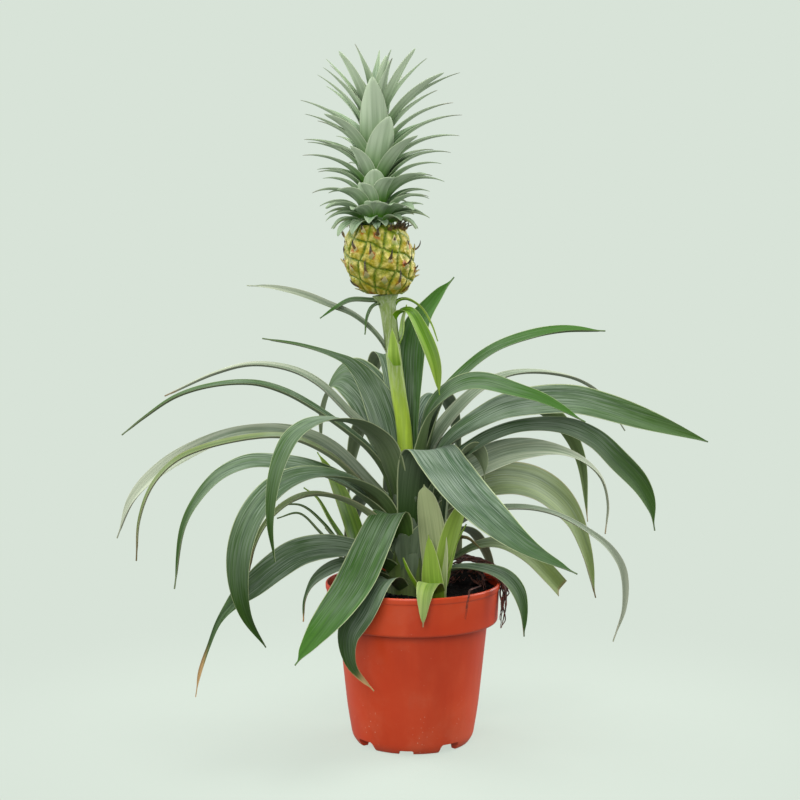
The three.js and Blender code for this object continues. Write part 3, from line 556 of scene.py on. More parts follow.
@dataclass
class Shell:
    """A closed surface: points, given in millimetres, faces, finish and what the points carry."""

    points: np.ndarray | Sequence[Row]
    faces: Faces
    finish: Finish
    values: dict[str, np.ndarray] = field(default_factory=dict)
    blade: np.ndarray | None = None

    def __post_init__(self) -> None:
        """Puts the points into metres, and turns the faces outwards by the sign of their volume."""
        self.points = np.asarray(self.points).reshape(-1, 3) * MM
        points = self.points - self.points.mean(axis=0)
        corners = [(face[0], face[i], face[i + 1]) for face in self.faces for i in range(1, len(face) - 1)]
        a, b, c = (points[list(column)] for column in zip(*corners))
        if np.einsum("ij,ij->i", a, np.cross(b, c)).sum() < 0:
            self.faces = [tuple(reversed(face)) for face in self.faces]


def soften(mesh: Mesh, angle: float) -> None:
    """Shades a mesh smooth, apart from edges that turn by more than an angle in degrees."""
    mesh.shade_smooth()
    mesh.set_sharp_from_angle(angle=radians(angle))


def build(name: str, shells: Sequence[Shell], crease: float = 42) -> Object:
    """Joins shells into one object at the origin.

    Args:
        name: the object's name.
        shells: the closed surfaces, each with its own finish.
        crease: the angle in degrees above which an edge stays sharp.

    Returns:
        The new object, in the scene.
    """
    offsets = np.cumsum([0] + [len(shell.points) for shell in shells])
    faces = [tuple(i + int(offset) for i in face)
             for shell, offset in zip(shells, offsets) for face in shell.faces]
    mesh = bpy.data.meshes.new(name)
    mesh.from_pydata(np.vstack([shell.points for shell in shells]).tolist(), [], faces)
    finishes = list(dict.fromkeys(shell.finish for shell in shells))
    for finish in finishes:
        mesh.materials.append(finish.material())
    kinds = [finishes.index(shell.finish) for shell in shells for _ in shell.faces]
    mesh.polygons.foreach_set("material_index", kinds)
    for key in dict.fromkeys(key for shell in shells for key in shell.values):
        rows = [shell.values.get(key, np.zeros(len(shell.points))) for shell in shells]
        carry(mesh, key, np.concatenate(rows))
    if any(shell.blade is not None for shell in shells):
        flat = [np.zeros((len(shell.points), 2)) if shell.blade is None else shell.blade for shell in shells]
        corners = np.empty(len(mesh.loops), dtype=np.int64)
        mesh.loops.foreach_get("vertex_index", corners)
        mesh.uv_layers.new(name="blade").data.foreach_set("uv", np.vstack(flat)[corners].ravel())
    mesh.update()
    soften(mesh, crease)
    return put(name, mesh)


def seat(made: Object, slot: str, *nodes: str) -> None:
    """Rides a finished piece on the body and reports it.

    Args:
        made: the piece.
        slot: the name of its finish's slot; not used.
        nodes: the CAD nodes that it stands for.
    """
    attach(made, BODY)
    if nodes:
        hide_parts(*nodes)
    log.info("%s: %d faces", made.name, len(made.data.polygons))


class Walk:
    """A smooth curve through points, walked by its length: the same curve as the solids follow."""

    samples = 16

    def __init__(self, points: np.ndarray) -> None:
        """Runs a centripetal curve through points.

        Args:
            points: rows of places, which may carry further numbers.
        """
        ends = np.vstack([2 * points[0] - points[1], points, 2 * points[-1] - points[-2]])
        t = np.linspace(0, 1, self.samples, endpoint=False)[:, None]
        parts = []
        for a, b, c, d in zip(ends, ends[1:], ends[2:], ends[3:]):
            spans = ((a, b), (b, c), (c, d))
            before, here, after = (sqrt(max(np.linalg.norm(q - p), 1e-9)) for p, q in spans)
            leave = ((b - a) / before - (c - a) / (before + here) + (c - b) / here) * here
            arrive = ((c - b) / here - (d - b) / (here + after) + (d - c) / after) * here
            parts.append((2 * t**3 - 3 * t**2 + 1) * b + (t**3 - 2 * t**2 + t) * leave
                         + (3 * t**2 - 2 * t**3) * c + (t**3 - t**2) * arrive)
        self.dense = np.vstack([*parts, points[-1:]])
        self.travel = np.concatenate([[0], np.cumsum(np.linalg.norm(np.diff(self.dense, axis=0), axis=1))])
        self.length = float(self.travel[-1])

    def at(self, shares: np.ndarray) -> tuple[np.ndarray, np.ndarray]:
        """Looks up places on the curve.

        Args:
            shares: shares of the length, from 0 to 1.

        Returns:
            The points there and their unit tangents.
        """
        places = shares * self.length
        points = np.stack([np.interp(places, self.travel, column) for column in self.dense.T], axis=1)
        return points, unit(np.gradient(points, shares, axis=0))


def tube_faces(stations: int, around: int, closed_ends: bool = True) -> Faces:
    """Faces of a tube of rings.

    Args:
        stations: how many rings it has.
        around: how many points each ring has.
        closed_ends: whether the first and last ring are filled.

    Returns:
        The faces as rows of point numbers.
    """
    faces = []
    for low in range(0, (stations - 1) * around, around):
        for k in range(around):
            after = (k + 1) % around
            faces.append((low + k, low + after, low + around + after, low + around + k))
    if closed_ends:
        last = (stations - 1) * around
        faces += [tuple(reversed(range(around))), tuple(range(last, last + around))]
    return faces


def flat_values(shape: tuple[int, int], grids: dict[str, np.ndarray]) -> dict[str, np.ndarray]:
    """Values by name, each spread over a grid of points and laid out as one row."""
    return {key: np.broadcast_to(np.asarray(grid, dtype=float), shape).ravel() for key, grid in grids.items()}


def blade_faces(stations: int, across: int) -> Faces:
    """Faces of a blade whose rings run over the upper side and back along the lower one.

    Args:
        stations: how many rings it has.
        across: how many points lie over one side.

    Returns:
        The faces as rows of point numbers.
    """
    around = 2 * across
    faces = tube_faces(stations, around, closed_ends=False)
    for start in (0, (stations - 1) * around):
        back = start + around - 1
        ends = [(start + k, start + k + 1, back - 1 - k, back - k) for k in range(across - 1)]
        faces += ends if start else [tuple(reversed(face)) for face in ends]
    return faces


@dataclass(frozen=True)
class Leaf:
    """One strap leaf: azimuth in degrees (0 is +X, 90 the back), width and midrib in millimetres.

    The midrib's points are (reach, height) from the axis it grows on, with a third number where one turns off
    the azimuth. The roll turns the upper face to the front, the sway turns the tip's azimuth, and the dry
    share browns that much of the tip. Widths and rolls, where they are given, hold shares of the width and
    angles at even steps from foot to tip, and open flattens the fold.
    """

    azimuth: float
    width: float
    line: tuple[Row, ...]
    tone: Tone = Tone.SAGE
    roll: float = 0
    sway: float = 0
    peak: float = 0.3
    dry: float = 0
    cut: bool = False
    widths: Row = ()
    rolls: Row = ()
    open: float = 1


@dataclass(frozen=True)
class StrapBlade:
    """Makes a channelled strap leaf from a row, thick at the keel and thin at its rippled margins."""

    step: float = 2.6
    keel: float = 1.35
    edge: float = 0.42
    tip: float = 0.7
    foot_share: float = 0.62
    foot_fold: float = 48
    blade_fold: float = 18

    def shell(self, row: Leaf, axis: Pair, seed: int) -> Shell:
        """The leaf as a closed shell.

        Args:
            row: the leaf's own sizes and midrib.
            axis: the x and y of the line that the leaf grows on, in millimetres.
            seed: what its chance ripples and tint follow from.

        Returns:
            The shell in metres, with its along, under, margin, tint and dry values.
        """
        chance = random.Random(seed)
        walk = self.midrib(row, axis)
        stations = max(round(walk.length / self.step), 14)
        s = np.linspace(0, 1, stations + 1)
        if not row.cut:
            s = 1 - (1 - s) ** 1.12
        points, tangents = walk.at(s)
        side, up = self.frame(row, points[:, :2] - np.array(axis), tangents, s, chance)

        across = 9 if row.width < 11 else 13
        u = np.sin(np.linspace(-0.5, 0.5, across) * pi * 0.86) / sin(0.43 * pi)
        travel = s * walk.length
        if row.widths:
            share = self.steps(s, row.widths)
            share = share if row.cut else share * (1 - smooth((s - 0.9) / 0.1) ** 2)
        else:
            share = lerp(self.foot_share, 1, smooth(s / row.peak))
            share = share * (1 - np.maximum((s - row.peak) / (1 - row.peak), 0) ** 2)
        ripple = 1 + 0.018 * np.sin(travel / 17 + chance.uniform(0, 6))
        half = np.maximum(row.width * share * ripple, self.tip) / 2
        fold = np.radians(lerp(self.foot_fold, self.blade_fold, smooth(s / 0.35)))
        fold = fold * lerp(1, 1.5, smooth((s - 0.72) / 0.28)) * row.open
        hollow = np.abs(u) ** 1.35 - 0.07 * smooth((np.abs(u) - 0.78) / 0.22)
        lift = np.outer(half * np.sin(fold), hollow - 0.4)
        for sign in (-1, 1):
            phase, second = chance.uniform(0, 6.28), chance.uniform(0, 6.28)
            sway = np.sin(travel / 21 + phase) + 0.6 * np.sin(travel / 9.5 + second)
            lift += np.outer(0.022 * half * smooth(s / 0.3) * sway, np.clip(sign * u, 0, 1) ** 2.5)
        body = np.outer(lerp(self.keel, self.keel * 0.5, s), 1 - np.abs(u) ** 1.6)
        body = np.minimum(body + self.edge * (1 - 0.35 * s)[:, None], 0.2 + 1.5 * half[:, None])

        sides = np.outer(half * np.cos(fold), u)
        upper = points[:, None] + (side[:, None] * sides[..., None] + up[:, None] * lift[..., None])
        lower = upper - up[:, None] * body[..., None]
        lower -= side[:, None] * (np.sign(u) * np.abs(u) ** 6 * 0.3)[None, :, None] * self.edge
        rings = np.concatenate([upper, lower[:, ::-1]], axis=1)

        places = np.concatenate([u, u[::-1]])
        blade = np.stack(np.broadcast_arrays(places * half[:, None], travel[:, None]), axis=-1) * MM
        ragged = np.interp(np.arange(2 * across), np.arange(0, 2 * across, 3),
                           [chance.uniform(-0.35, 0.35) for _ in range(0, 2 * across, 3)])
        browned = np.zeros(blade.shape[:2])
        if row.dry:
            start = 1 - row.dry * (1 + ragged[None])
            browned = smooth((s[:, None] - start) / (0.5 * row.dry)) * 0.95
        values = flat_values(blade.shape[:2], {
            "along": s[:, None],
            "under": np.repeat((0, 1), across)[None],
            "margin": np.abs(places)[None],
            "tint": np.array(chance.random()),
            "dry": browned,
        })
        faces = blade_faces(stations + 1, across)
        return Shell(rings, faces, row.tone.value, values, blade.reshape(-1, 2))

    @staticmethod
    def midrib(row: Leaf, axis: Pair) -> Walk:
        """The leaf's middle line.

        Args:
            row: the leaf.
            axis: the x and y of the line that it grows on.

        Returns:
            The curve, in millimetres.
        """
        reach = row.line[-1][0]
        ribs = []
        for radius, height, *turn in row.line:
            angle = radians(row.azimuth + sum(turn) + row.sway * max(radius / reach, 0) ** 2)
            ribs.append((axis[0] + radius * cos(angle), axis[1] + radius * sin(angle), height))
        return Walk(np.array(ribs, dtype=float))

    def frame(self, row: Leaf, off: np.ndarray, tangents: np.ndarray, s: np.ndarray,
              chance: random.Random) -> tuple[np.ndarray, np.ndarray]:
        """Turns and rolls the blade round its midrib.

        Args:
            row: the leaf.
            off: how far each station stands from the axis, in x and y.
            tangents: which way the midrib runs at each.
            s: the stations' shares of the length.
            chance: gives the leaf its own slight roll.

        Returns:
            Which way the blade's side and its upper face point at each station.
        """
        near = np.linalg.norm(off, axis=1) <= 3
        angle = np.where(near, radians(row.azimuth), np.arctan2(off[:, 1], off[:, 0]))
        side = np.stack([-np.sin(angle), np.cos(angle), np.zeros_like(angle)], axis=1)
        side = unit(side - tangents * np.sum(side * tangents, axis=1, keepdims=True))
        facing = -1 if cos(radians(row.azimuth)) < 0 else 1
        turned = self.steps(s, row.rolls) if row.rolls else row.roll * smooth(s / 0.6)
        roll = facing * np.radians(turned) + radians(chance.uniform(-5, 5)) * smooth(s)
        up = np.cross(tangents, side)
        cosine, sine = np.cos(roll)[:, None], np.sin(roll)[:, None]
        return side * cosine + up * sine, up * cosine - side * sine

    @staticmethod
    def steps(s: np.ndarray, values: Row) -> np.ndarray:
        """Joins values given at even steps from foot to tip.

        Args:
            s: the stations' shares of the length.
            values: the values.

        Returns:
            A smoothed value for each station.
        """
        joined = np.interp(s, np.linspace(0, 1, len(values)), values)
        reach = max(len(s) // (2 * len(values)), 1)
        padded = np.pad(joined, reach, mode="edge")
        return np.convolve(padded, np.ones(2 * reach + 1) / (2 * reach + 1), mode="valid")


@dataclass(frozen=True)
class RoundBar:
    """Makes a round bar along stations of (x, y, z, radius) in millimetres."""

    around: int = 24
    step: float = 2

    def shell(self, stations: Sequence[Row], finish: Finish, flute: float = 0) -> Shell:
        """The bar as a closed shell.

        Args:
            stations: its middle line with the radius at each place.
            finish: its finish.
            flute: how deep the shallow flutes round it are, as a share of the radius.

        Returns:
            The shell in metres, with its along value.
        """
        walk = Walk(np.array(stations, dtype=float))
        count = max(round(walk.length / self.step), 4) + 1
        s = np.linspace(0, 1, count)
        points, tangents = walk.at(s)
        radii, points = points[:, 3], points[:, :3]
        tangents = unit(tangents[:, :3])
        side = unit(np.array([0.0, 1.0, 0.0]) - tangents * tangents[:, 1:2])
        other = np.cross(tangents, side)
        angle = round_angles(self.around)
        wobble = np.sin(5 * angle[None] + s[:, None] * 9) + 0.6 * np.sin(8 * angle[None] - s[:, None] * 14)
        reach = radii[:, None] * (1 + flute * wobble)
        outward = side[:, None] * np.cos(angle)[:, None] + other[:, None] * np.sin(angle)[:, None]
        rings = points[:, None] + reach[..., None] * outward
        values = {"along": np.repeat(s, self.around)}
        return Shell(rings, tube_faces(count, self.around), finish, values)


class Pattern:
    """A Geometry Nodes tree with named inputs, run once on a host object to leave a plain mesh."""

    sockets = {"Finish": "NodeSocketMaterial"}

    def __init__(self, name: str) -> None:
        """Makes the tree, its inputs and its output.

        Args:
            name: the tree's name.
        """
        self.tree = bpy.data.node_groups.new(name, "GeometryNodeTree")
        self.tree.interface.new_socket("Geometry", in_out="INPUT", socket_type="NodeSocketGeometry")
        for label, kind in {**self.sockets, **Pattern.sockets}.items():
            self.tree.interface.new_socket(label, in_out="INPUT", socket_type=kind)
        self.tree.interface.new_socket("Geometry", in_out="OUTPUT", socket_type="NodeSocketGeometry")
        self.graph = Graph(self.tree)
        self.entry = self.graph.add("NodeGroupInput")
        shape = self.lay_out(self.graph)
        real = self.graph.add("GeometryNodeRealizeInstances", {0: shape})
        inputs = {"Geometry": self.graph.out(real), "Material": self.input("Finish")}
        dressed = self.graph.add("GeometryNodeSetMaterial", inputs)
        self.graph.add("NodeGroupOutput", {0: self.graph.out(dressed)})

    def input(self, name: str) -> Field:
        """One of the tree's inputs."""
        return self.graph.out(self.entry, name)

    def named(self, name: str) -> Field:
        """A number that the points carry."""
        node = self.graph.add("GeometryNodeInputNamedAttribute", {"Name": name}, data_type="FLOAT")
        return self.graph.out(node, 0)

    def lay_out(self, graph: Graph) -> Field:
        """Builds the tree between its input and its last two nodes, and returns its shape."""
        raise NotImplementedError

    def run(self, host: Object, name: str, **values: object) -> Object:
        """Runs the tree on a host, which goes away, and keeps the result as a plain mesh object.

        Args:
            host: the object whose geometry the tree takes.
            name: the new object's name.
            values: the tree's inputs by name.

        Returns:
            The new object, in the scene.
        """
        modifier = host.modifiers.new("pattern", "NODES")
        modifier.node_group = self.tree
        for item in self.tree.interface.items_tree:
            if item.in_out == "INPUT" and item.name in values:
                modifier[item.identifier] = values[item.name]
        depsgraph = bpy.context.evaluated_depsgraph_get()
        shape = host.evaluated_get(depsgraph)
        mesh = bpy.data.meshes.new_from_object(shape, preserve_all_data_layers=True, depsgraph=depsgraph)
        mesh.name = name
        host.modifiers.remove(modifier)
        bpy.data.objects.remove(host)
        return put(name, mesh)


class BladePattern(Pattern):
    """Sets a small bent blade on each point, by the azimuth, slope, bend, length and width it carries."""

    sockets = {"Template": "NodeSocketObject", "Fold": "NodeSocketFloat", "Thickness": "NodeSocketFloat"}

    def lay_out(self, graph: Graph) -> Field:
        """Instances the flat template, then bends each copy along its own arc.

        Args:
            graph: the tree.

        Returns:
            The shape.
        """
        template = graph.add("GeometryNodeObjectInfo", {"Object": self.input("Template")})
        inputs = {"Points": self.input("Geometry"), "Instance": graph.out(template, "Geometry")}
        placed = graph.add("GeometryNodeInstanceOnPoints", inputs)
        real = graph.add("GeometryNodeRealizeInstances", {0: placed})

        azimuth, slope, bend = map(self.named, ("azimuth", "slope", "bend"))
        length, width, roll = map(self.named, ("length", "width", "roll"))
        along, across, girth = map(self.named, ("along", "across", "girth"))
        body = self.named("body") * self.input("Thickness")

        turned = slope - bend * along
        reach = length / bend * (graph.math("SINE", slope) - graph.math("SINE", turned))
        rise = length / bend * (graph.math("COSINE", turned) - graph.math("COSINE", slope))
        half = width * girth * 0.5
        hollow = graph.math("POWER", graph.math("ABSOLUTE", across), 1.4) * half * self.input("Fold")
        sideways = across * half
        upwards = hollow - self.named("under") * body
        twist = roll * along
        cosine, sine = graph.math("COSINE", twist), graph.math("SINE", twist)
        offset = sideways * cosine - upwards * sine
        height = sideways * sine + upwards * cosine
        radial = reach - graph.math("SINE", turned) * height
        upright = rise + graph.math("COSINE", turned) * height
        east, north = graph.math("COSINE", azimuth), graph.math("SINE", azimuth)
        x = self.named("root_x") + east * radial - north * offset
        y = self.named("root_y") + north * radial + east * offset
        z = self.named("root_z") + upright
        place = graph.add("ShaderNodeCombineXYZ", {0: x, 1: y, 2: z})
        inputs = {"Geometry": real, "Position": place}
        return graph.out(graph.add("GeometryNodeSetPosition", inputs))


@dataclass(frozen=True)
class BladeSpot:
    """Where a small blade grows and how: its root in millimetres, angles in degrees."""

    root: Point
    azimuth: float
    slope: float
    bend: float
    length: float
    width: float
    roll: float = 0
    # A random tone; on the crown it also carries painted shade.
    tint: float = 0.5
    dry: float = 0

    def values(self) -> dict[str, float]:
        """What the point carries.

        Returns:
            The sizes in metres, the angles in radians, and the shares.
        """
        sizes = dict(zip(("root_x", "root_y", "root_z"), self.root), length=self.length, width=self.width)
        turns = {"azimuth": self.azimuth, "slope": self.slope, "bend": self.bend, "roll": self.roll}
        values = {key: size * MM for key, size in sizes.items()}
        values.update((key, radians(turn)) for key, turn in turns.items())
        return {**values, "tint": self.tint, "browning": self.dry}


@dataclass(frozen=True)
class SmallBlades:
    """Makes a set of small blades of one outline by the blade pattern."""

    outline: Row
    stations: int = 14
    across: int = 7
    thickness: float = 0.6
    fold: float = 0.3

    def template(self) -> Object:
        """Makes the blade that is copied.

        Returns:
            A flat closed blade whose points carry their place along, across and under.
        """
        s = 1 - (1 - np.linspace(0, 1, self.stations)) ** 1.15
        u = np.linspace(-1, 1, self.across)
        girth = np.interp(s, np.linspace(0, 1, len(self.outline)), self.outline)
        girth = np.convolve(np.pad(girth, 1, mode="edge"), (0.25, 0.5, 0.25), mode="valid")
        girth[-1] = 0.03
        around = np.concatenate([u, u[::-1]])
        below = np.concatenate([np.zeros(self.across), np.ones(self.across)])
        body = (0.35 + 0.65 * (1 - np.abs(around) ** 2))[None] * np.minimum(1, 4 * girth)[:, None]
        flat = flat_values((self.stations, 2 * self.across), {
            "along": s[:, None], "across": around[None], "girth": girth[:, None], "under": below[None],
            "body": body, "margin": np.abs(around)[None],
        })
        points = np.stack([flat["along"], flat["across"] * flat["girth"], -flat["under"] * 0.1], axis=1)
        blade = np.stack([flat["across"] * flat["girth"] * 0.006, flat["along"] * 0.05], axis=1)
        faces = blade_faces(self.stations, self.across)
        shell = Shell(points, faces, Tone.CROWN.value, flat, blade)
        return build("blade_template", [shell], crease=60)

    def grow(self, name: str, spots: Sequence[BladeSpot], finish: Finish) -> Object:
        """Grows the blades on their spots.

        Args:
            name: the piece's name.
            spots: where they grow and how.
            finish: their finish.

        Returns:
            The blades as one plain mesh.
        """
        mesh = bpy.data.meshes.new(name + "_points")
        mesh.from_pydata([tuple(c * MM for c in spot.root) for spot in spots], [], [])
        for key in spots[0].values():
            carry(mesh, key, [spot.values()[key] for spot in spots])
        template = self.template()
        made = blade_pattern().run(put(name + "_points", mesh), name, Template=template, Fold=self.fold,
                                   Thickness=self.thickness * MM, Finish=finish.material())
        bpy.data.objects.remove(template)
        browning = read_values(made.data, "browning")
        along = read_values(made.data, "along")
        carry(made.data, "dry", smooth((along - (1 - browning)) / 0.25) * (browning > 0))
        return made


@cache
def blade_pattern() -> BladePattern:
    """The one blade pattern, made once."""
    return BladePattern("small_blades")


@dataclass
class Pot:
    """The nursery pot: turned wall with a deep plain band, rounded foot with notches, raised floor."""

    rim_radius: float = 55
    rim_height: float = 102
    band_radius: float = 53.4
    band_height: float = 78
    side_top: float = 47
    side_low: float = 41.2
    side_low_height: float = 22
    foot_radius: float = 35
    foot_inner: float = 31
    wall: float = 1.4
    floor: float = 3
    around: int = 192
    notches: int = 8
    notch_start: float = -52
    deep_notch: Pair = (14, 5.6)
    shallow_notch: Pair = (9, 2.6)

    def profile(self) -> np.ndarray:
        """The wall's outline from the floor's underside round to its top.

        Returns:
            Rows of radius and height, with the corners rounded.
        """
        rim, top, band, low = self.rim_radius, self.rim_height, self.band_radius, self.band_height
        foot = self.foot_radius
        corners = [
            (0.4, self.floor, 0), (self.foot_inner - 1, self.floor, 0.8), (self.foot_inner, 0, 0.5),
            (foot, 0, 1.2), (foot + 3.2, 4.4, 3), (self.side_low, self.side_low_height, 8),
            (self.side_top, low - 1.2, 0.7), (band - 0.9, low - 0.5, 0.5), (band, low + 0.6, 0.9),
            (rim - 0.75, top - 4.2, 0.4), (rim - 0.15, top - 3.6, 0.4), (rim, top - 0.8, 0.6),
            (rim - 0.5, top, 0.5), (rim - self.wall - 0.2, top, 0.5), (rim - self.wall - 0.6, top - 4, 1),
            (band - self.wall, low + 1.6, 0.8), (self.side_top - self.wall, low + 0.2, 0.8),
            (self.side_low - self.wall, self.side_low_height, 6), (foot + 1.6, 6.4, 2),
            (foot, self.floor + self.wall, 1), (0.4, self.floor + self.wall, 0),
        ]
        rows = []
        for i, (x, y, radius) in enumerate(corners):
            corner = np.array([x, y])
            if not radius:
                rows.append(corner)
                continue
            ways = [np.array(corners[j][:2]) - corner for j in (i - 1, i + 1)]
            first, last = (corner + way * min(radius / np.linalg.norm(way), 0.45) for way in ways)
            for t in np.linspace(0, 1, 5):
                rows.append((1 - t) ** 2 * first + 2 * t * (1 - t) * corner + t * t * last)
        return np.array(rows)

    def cutter(self) -> Object:
        """Makes arched bars through the foot ring, one for each notch.

        Returns:
            The bars, which open as drain holes where they are deep.
        """
        shells = []
        arch = ((-1, -3), (1, -3), (1, 0.72), (0.93, 0.9), (0.8, 1), (-0.8, 1), (-0.93, 0.9), (-1, 0.72))
        for k in range(self.notches):
            width, height = self.shallow_notch if k % 2 else self.deep_notch
            angle = radians(self.notch_start + 360 / self.notches * k)
            rows = []
            for reach in (self.foot_inner - 2, self.foot_inner + 10):
                for u, v in arch:
                    across = u * width / 2
                    up = max(v * height, -2.0)
                    rows.append((reach * cos(angle) - across * sin(angle),
                                 reach * sin(angle) + across * cos(angle), up))
            shells.append(Shell(rows, tube_faces(2, len(arch)), PotFinish()))
        return build("pot_cutter", shells)

    def make(self) -> None:
        """Turns the wall, cuts its notches and stands it for its node."""
        rows = self.profile()
        angle = round_angles(self.around)
        x, y = np.outer(rows[:, 0], np.cos(angle)), np.outer(rows[:, 0], np.sin(angle))
        points = np.stack([x, y, np.broadcast_to(rows[:, 1:2], x.shape)], axis=-1)
        made = build("pot_body", [Shell(points, tube_faces(len(rows), self.around), PotFinish())])
        cutter = self.cutter()
        cut = made.modifiers.new("notches", "BOOLEAN")
        cut.operation, cut.solver, cut.object = "DIFFERENCE", "EXACT", cutter
        depsgraph = bpy.context.evaluated_depsgraph_get()
        mesh = bpy.data.meshes.new_from_object(made.evaluated_get(depsgraph), depsgraph=depsgraph)
        made.modifiers.clear()
        made.data = mesh
        bpy.data.objects.remove(cutter)
        soften(mesh, 38)
        seat(made, "terracotta_plastic", "pot")


class LumpPattern(Pattern):
    """Strews small lumps over a surface, each turned and sized by chance."""

    sockets = {"Lump": "NodeSocketObject", "Density": "NodeSocketFloat", "Smallest": "NodeSocketFloat",
               "Largest": "NodeSocketFloat", "Seed": "NodeSocketInt"}

    def lay_out(self, graph: Graph) -> Field:
        """Strews points on the host and sets a lump on each.

        Args:
            graph: the tree.

        Returns:
            The shape.
        """
        inputs = {"Mesh": self.input("Geometry"), **{key: self.input(key) for key in ("Density", "Seed")}}
        strewn = graph.add("GeometryNodeDistributePointsOnFaces", inputs)
        lump = graph.add("GeometryNodeObjectInfo", {"Object": self.input("Lump")})
        inputs = {0: (-3.1, -3.1, -3.1), 1: (3.1, 3.1, 3.1), "Seed": 5}
        turn = graph.add("FunctionNodeRandomValue", inputs, data_type="FLOAT_VECTOR")
        size = graph.add("FunctionNodeRandomValue", {2: 0.0, 3: 1.0, "Seed": 9}, data_type="FLOAT")
        spread = graph.math("POWER", graph.out(size, 1), 3.0)
        scale = self.input("Smallest") + (self.input("Largest") - self.input("Smallest")) * spread
        inputs = {"Points": graph.out(strewn, "Points"), "Instance": graph.out(lump, "Geometry"),
                  "Rotation": graph.out(turn, 0), "Scale": scale}
        return graph.out(graph.add("GeometryNodeInstanceOnPoints", inputs))


@dataclass
class Soil:
    """The potting soil: a crumbly surface, heaped under the roots, with loose crumbs and fibres on it."""

    level: float = 94.3
    radius: float = 52.7
    mound: float = 1.5
    heap: tuple[float, float, float, float] = (34, 22, 4, 500)
    under: tuple[Pair, ...] = ((33, 8.5), (38.4, 22), (44.6, 78.4), (51.6, 80.4))
    strewn: tuple[tuple[str, float, float, float], ...] = (
        ("soil_crumbs", 130000.0, 0.35, 1.7), ("soil_lumps", 9000.0, 1.2, 3.2))
    rings: int = 60
    around: int = 160
    lump_seed: int = 12

    def height(self, x: float, y: float) -> float:
        """The height of the surface, as the solid has it, with fine lumps.

        Args:
            x: how far to the right, in millimetres.
            y: how far back.

        Returns:
            The height in millimetres.
        """
        crumbs = 0.9 * sin(0.31 * x + 1.3) * cos(0.27 * y) + 0.5 * sin(0.61 * y + 0.43 * x)
        hx, hy, height, spread = self.heap
        heap = height * exp(-((x - hx) ** 2 + (y - hy) ** 2) / spread)
        mound = self.mound * exp(-((x - ROSETTE_AXIS[0]) ** 2 + y * y) / 700)
        lumps = 1.1 * noise.noise(Vector((x * 0.22, y * 0.22, 3.0)))
        lumps += 0.7 * noise.noise(Vector((x * 0.6, y * 0.6, 9)))
        return self.level + crumbs + heap + mound + lumps

    def surface(self, edge: float) -> tuple[np.ndarray, Faces]:
        """Rings over the surface from the wall to near the middle.

        Args:
            edge: the radius of the first ring.

        Returns:
            The points and their faces.
        """
        radii = edge * (1 - np.linspace(0, 0.985, self.rings))
        flat = [(r * cos(a), r * sin(a)) for r in radii for a in round_angles(self.around)]
        rows = np.array([(x, y, self.height(x, y)) for x, y in flat])
        return rows, tube_faces(self.rings, self.around, closed_ends=False)

    def make(self) -> None:
        """Builds the block with its surface, and strews the crumbs."""
        top, _ = self.surface(self.radius)
        angle = round_angles(self.around)
        lower = [np.stack([r * np.cos(angle), r * np.sin(angle), np.full_like(angle, z)], axis=1)
                 for r, z in self.under]
        faces = tube_faces(self.rings + len(self.under), self.around)
        block = Shell(np.vstack([*lower, top]), faces, SoilFinish())
        seat(build("soil_block", [block], crease=75), "potting_soil", "soil")

        lump = self.lump()
        points, faces = self.surface(self.radius - 1.4)
        pattern = LumpPattern("strewn_lumps")
        for name, density, smallest, largest in self.strewn:
            mesh = bpy.data.meshes.new("soil_host")
            mesh.from_pydata((points * MM).tolist(), [], faces)
            made = pattern.run(put("soil_host", mesh), name, Lump=lump, Density=density, Smallest=smallest,
                               Largest=largest, Seed=len(name), Finish=SoilFinish().material())
            seat(made, "potting_soil")
        bpy.data.objects.remove(lump)

    def lump(self) -> Object:
        """Makes the crumb that is strewn.

        Returns:
            A lump of about a millimetre, with a few dozen faces.
        """
        rows = []
        chance = random.Random(self.lump_seed)
        for level in (-0.8, -0.25, 0.3, 0.78):
            for k in range(6):
                angle = k * pi / 3 + level
                reach = sqrt(1 - level * level) * chance.uniform(0.7, 1.1)
                rows.append((reach * cos(angle) * 0.5, reach * sin(angle) * 0.42, level * 0.4))
        return build("crumb", [Shell(rows, tube_faces(4, 6), SoilFinish())])


class StrandPattern(Pattern):
    """Turns the host's edges into wandering tubes whose thickness the points carry."""

    sockets = {"Wander": "NodeSocketFloat", "Fineness": "NodeSocketFloat", "Sides": "NodeSocketInt"}

    def lay_out(self, graph: Graph) -> Field:
        """Makes curves of the edges, shakes them with noise and sweeps a ring along each.

        Args:
            graph: the tree.

        Returns:
            The shape.
        """
        curve = graph.add("GeometryNodeMeshToCurve", {0: self.input("Geometry")})
        place = graph.add("GeometryNodeInputPosition")
        inputs = {"Vector": place, "Scale": self.input("Fineness"), "Detail": 2.0}
        cloud = graph.add("ShaderNodeTexNoise", inputs)
        inputs = {0: graph.out(cloud, 1), 1: (0.5, 0.5, 0.5)}
        level = graph.add("ShaderNodeVectorMath", inputs, operation="SUBTRACT")
        inputs = {0: level, "Scale": self.input("Wander")}
        shift = graph.add("ShaderNodeVectorMath", inputs, operation="SCALE")
        inputs = {"Geometry": curve, "Offset": shift}
        shaken = graph.add("GeometryNodeSetPosition", inputs)
        ring = graph.add("GeometryNodeCurvePrimitiveCircle", {0: self.input("Sides"), "Radius": 1.0})
        inputs = {"Curve": shaken, "Profile Curve": ring,
                  "Scale": self.named("thickness"), "Fill Caps": True}
        return graph.out(graph.add("GeometryNodeCurveToMesh", inputs))


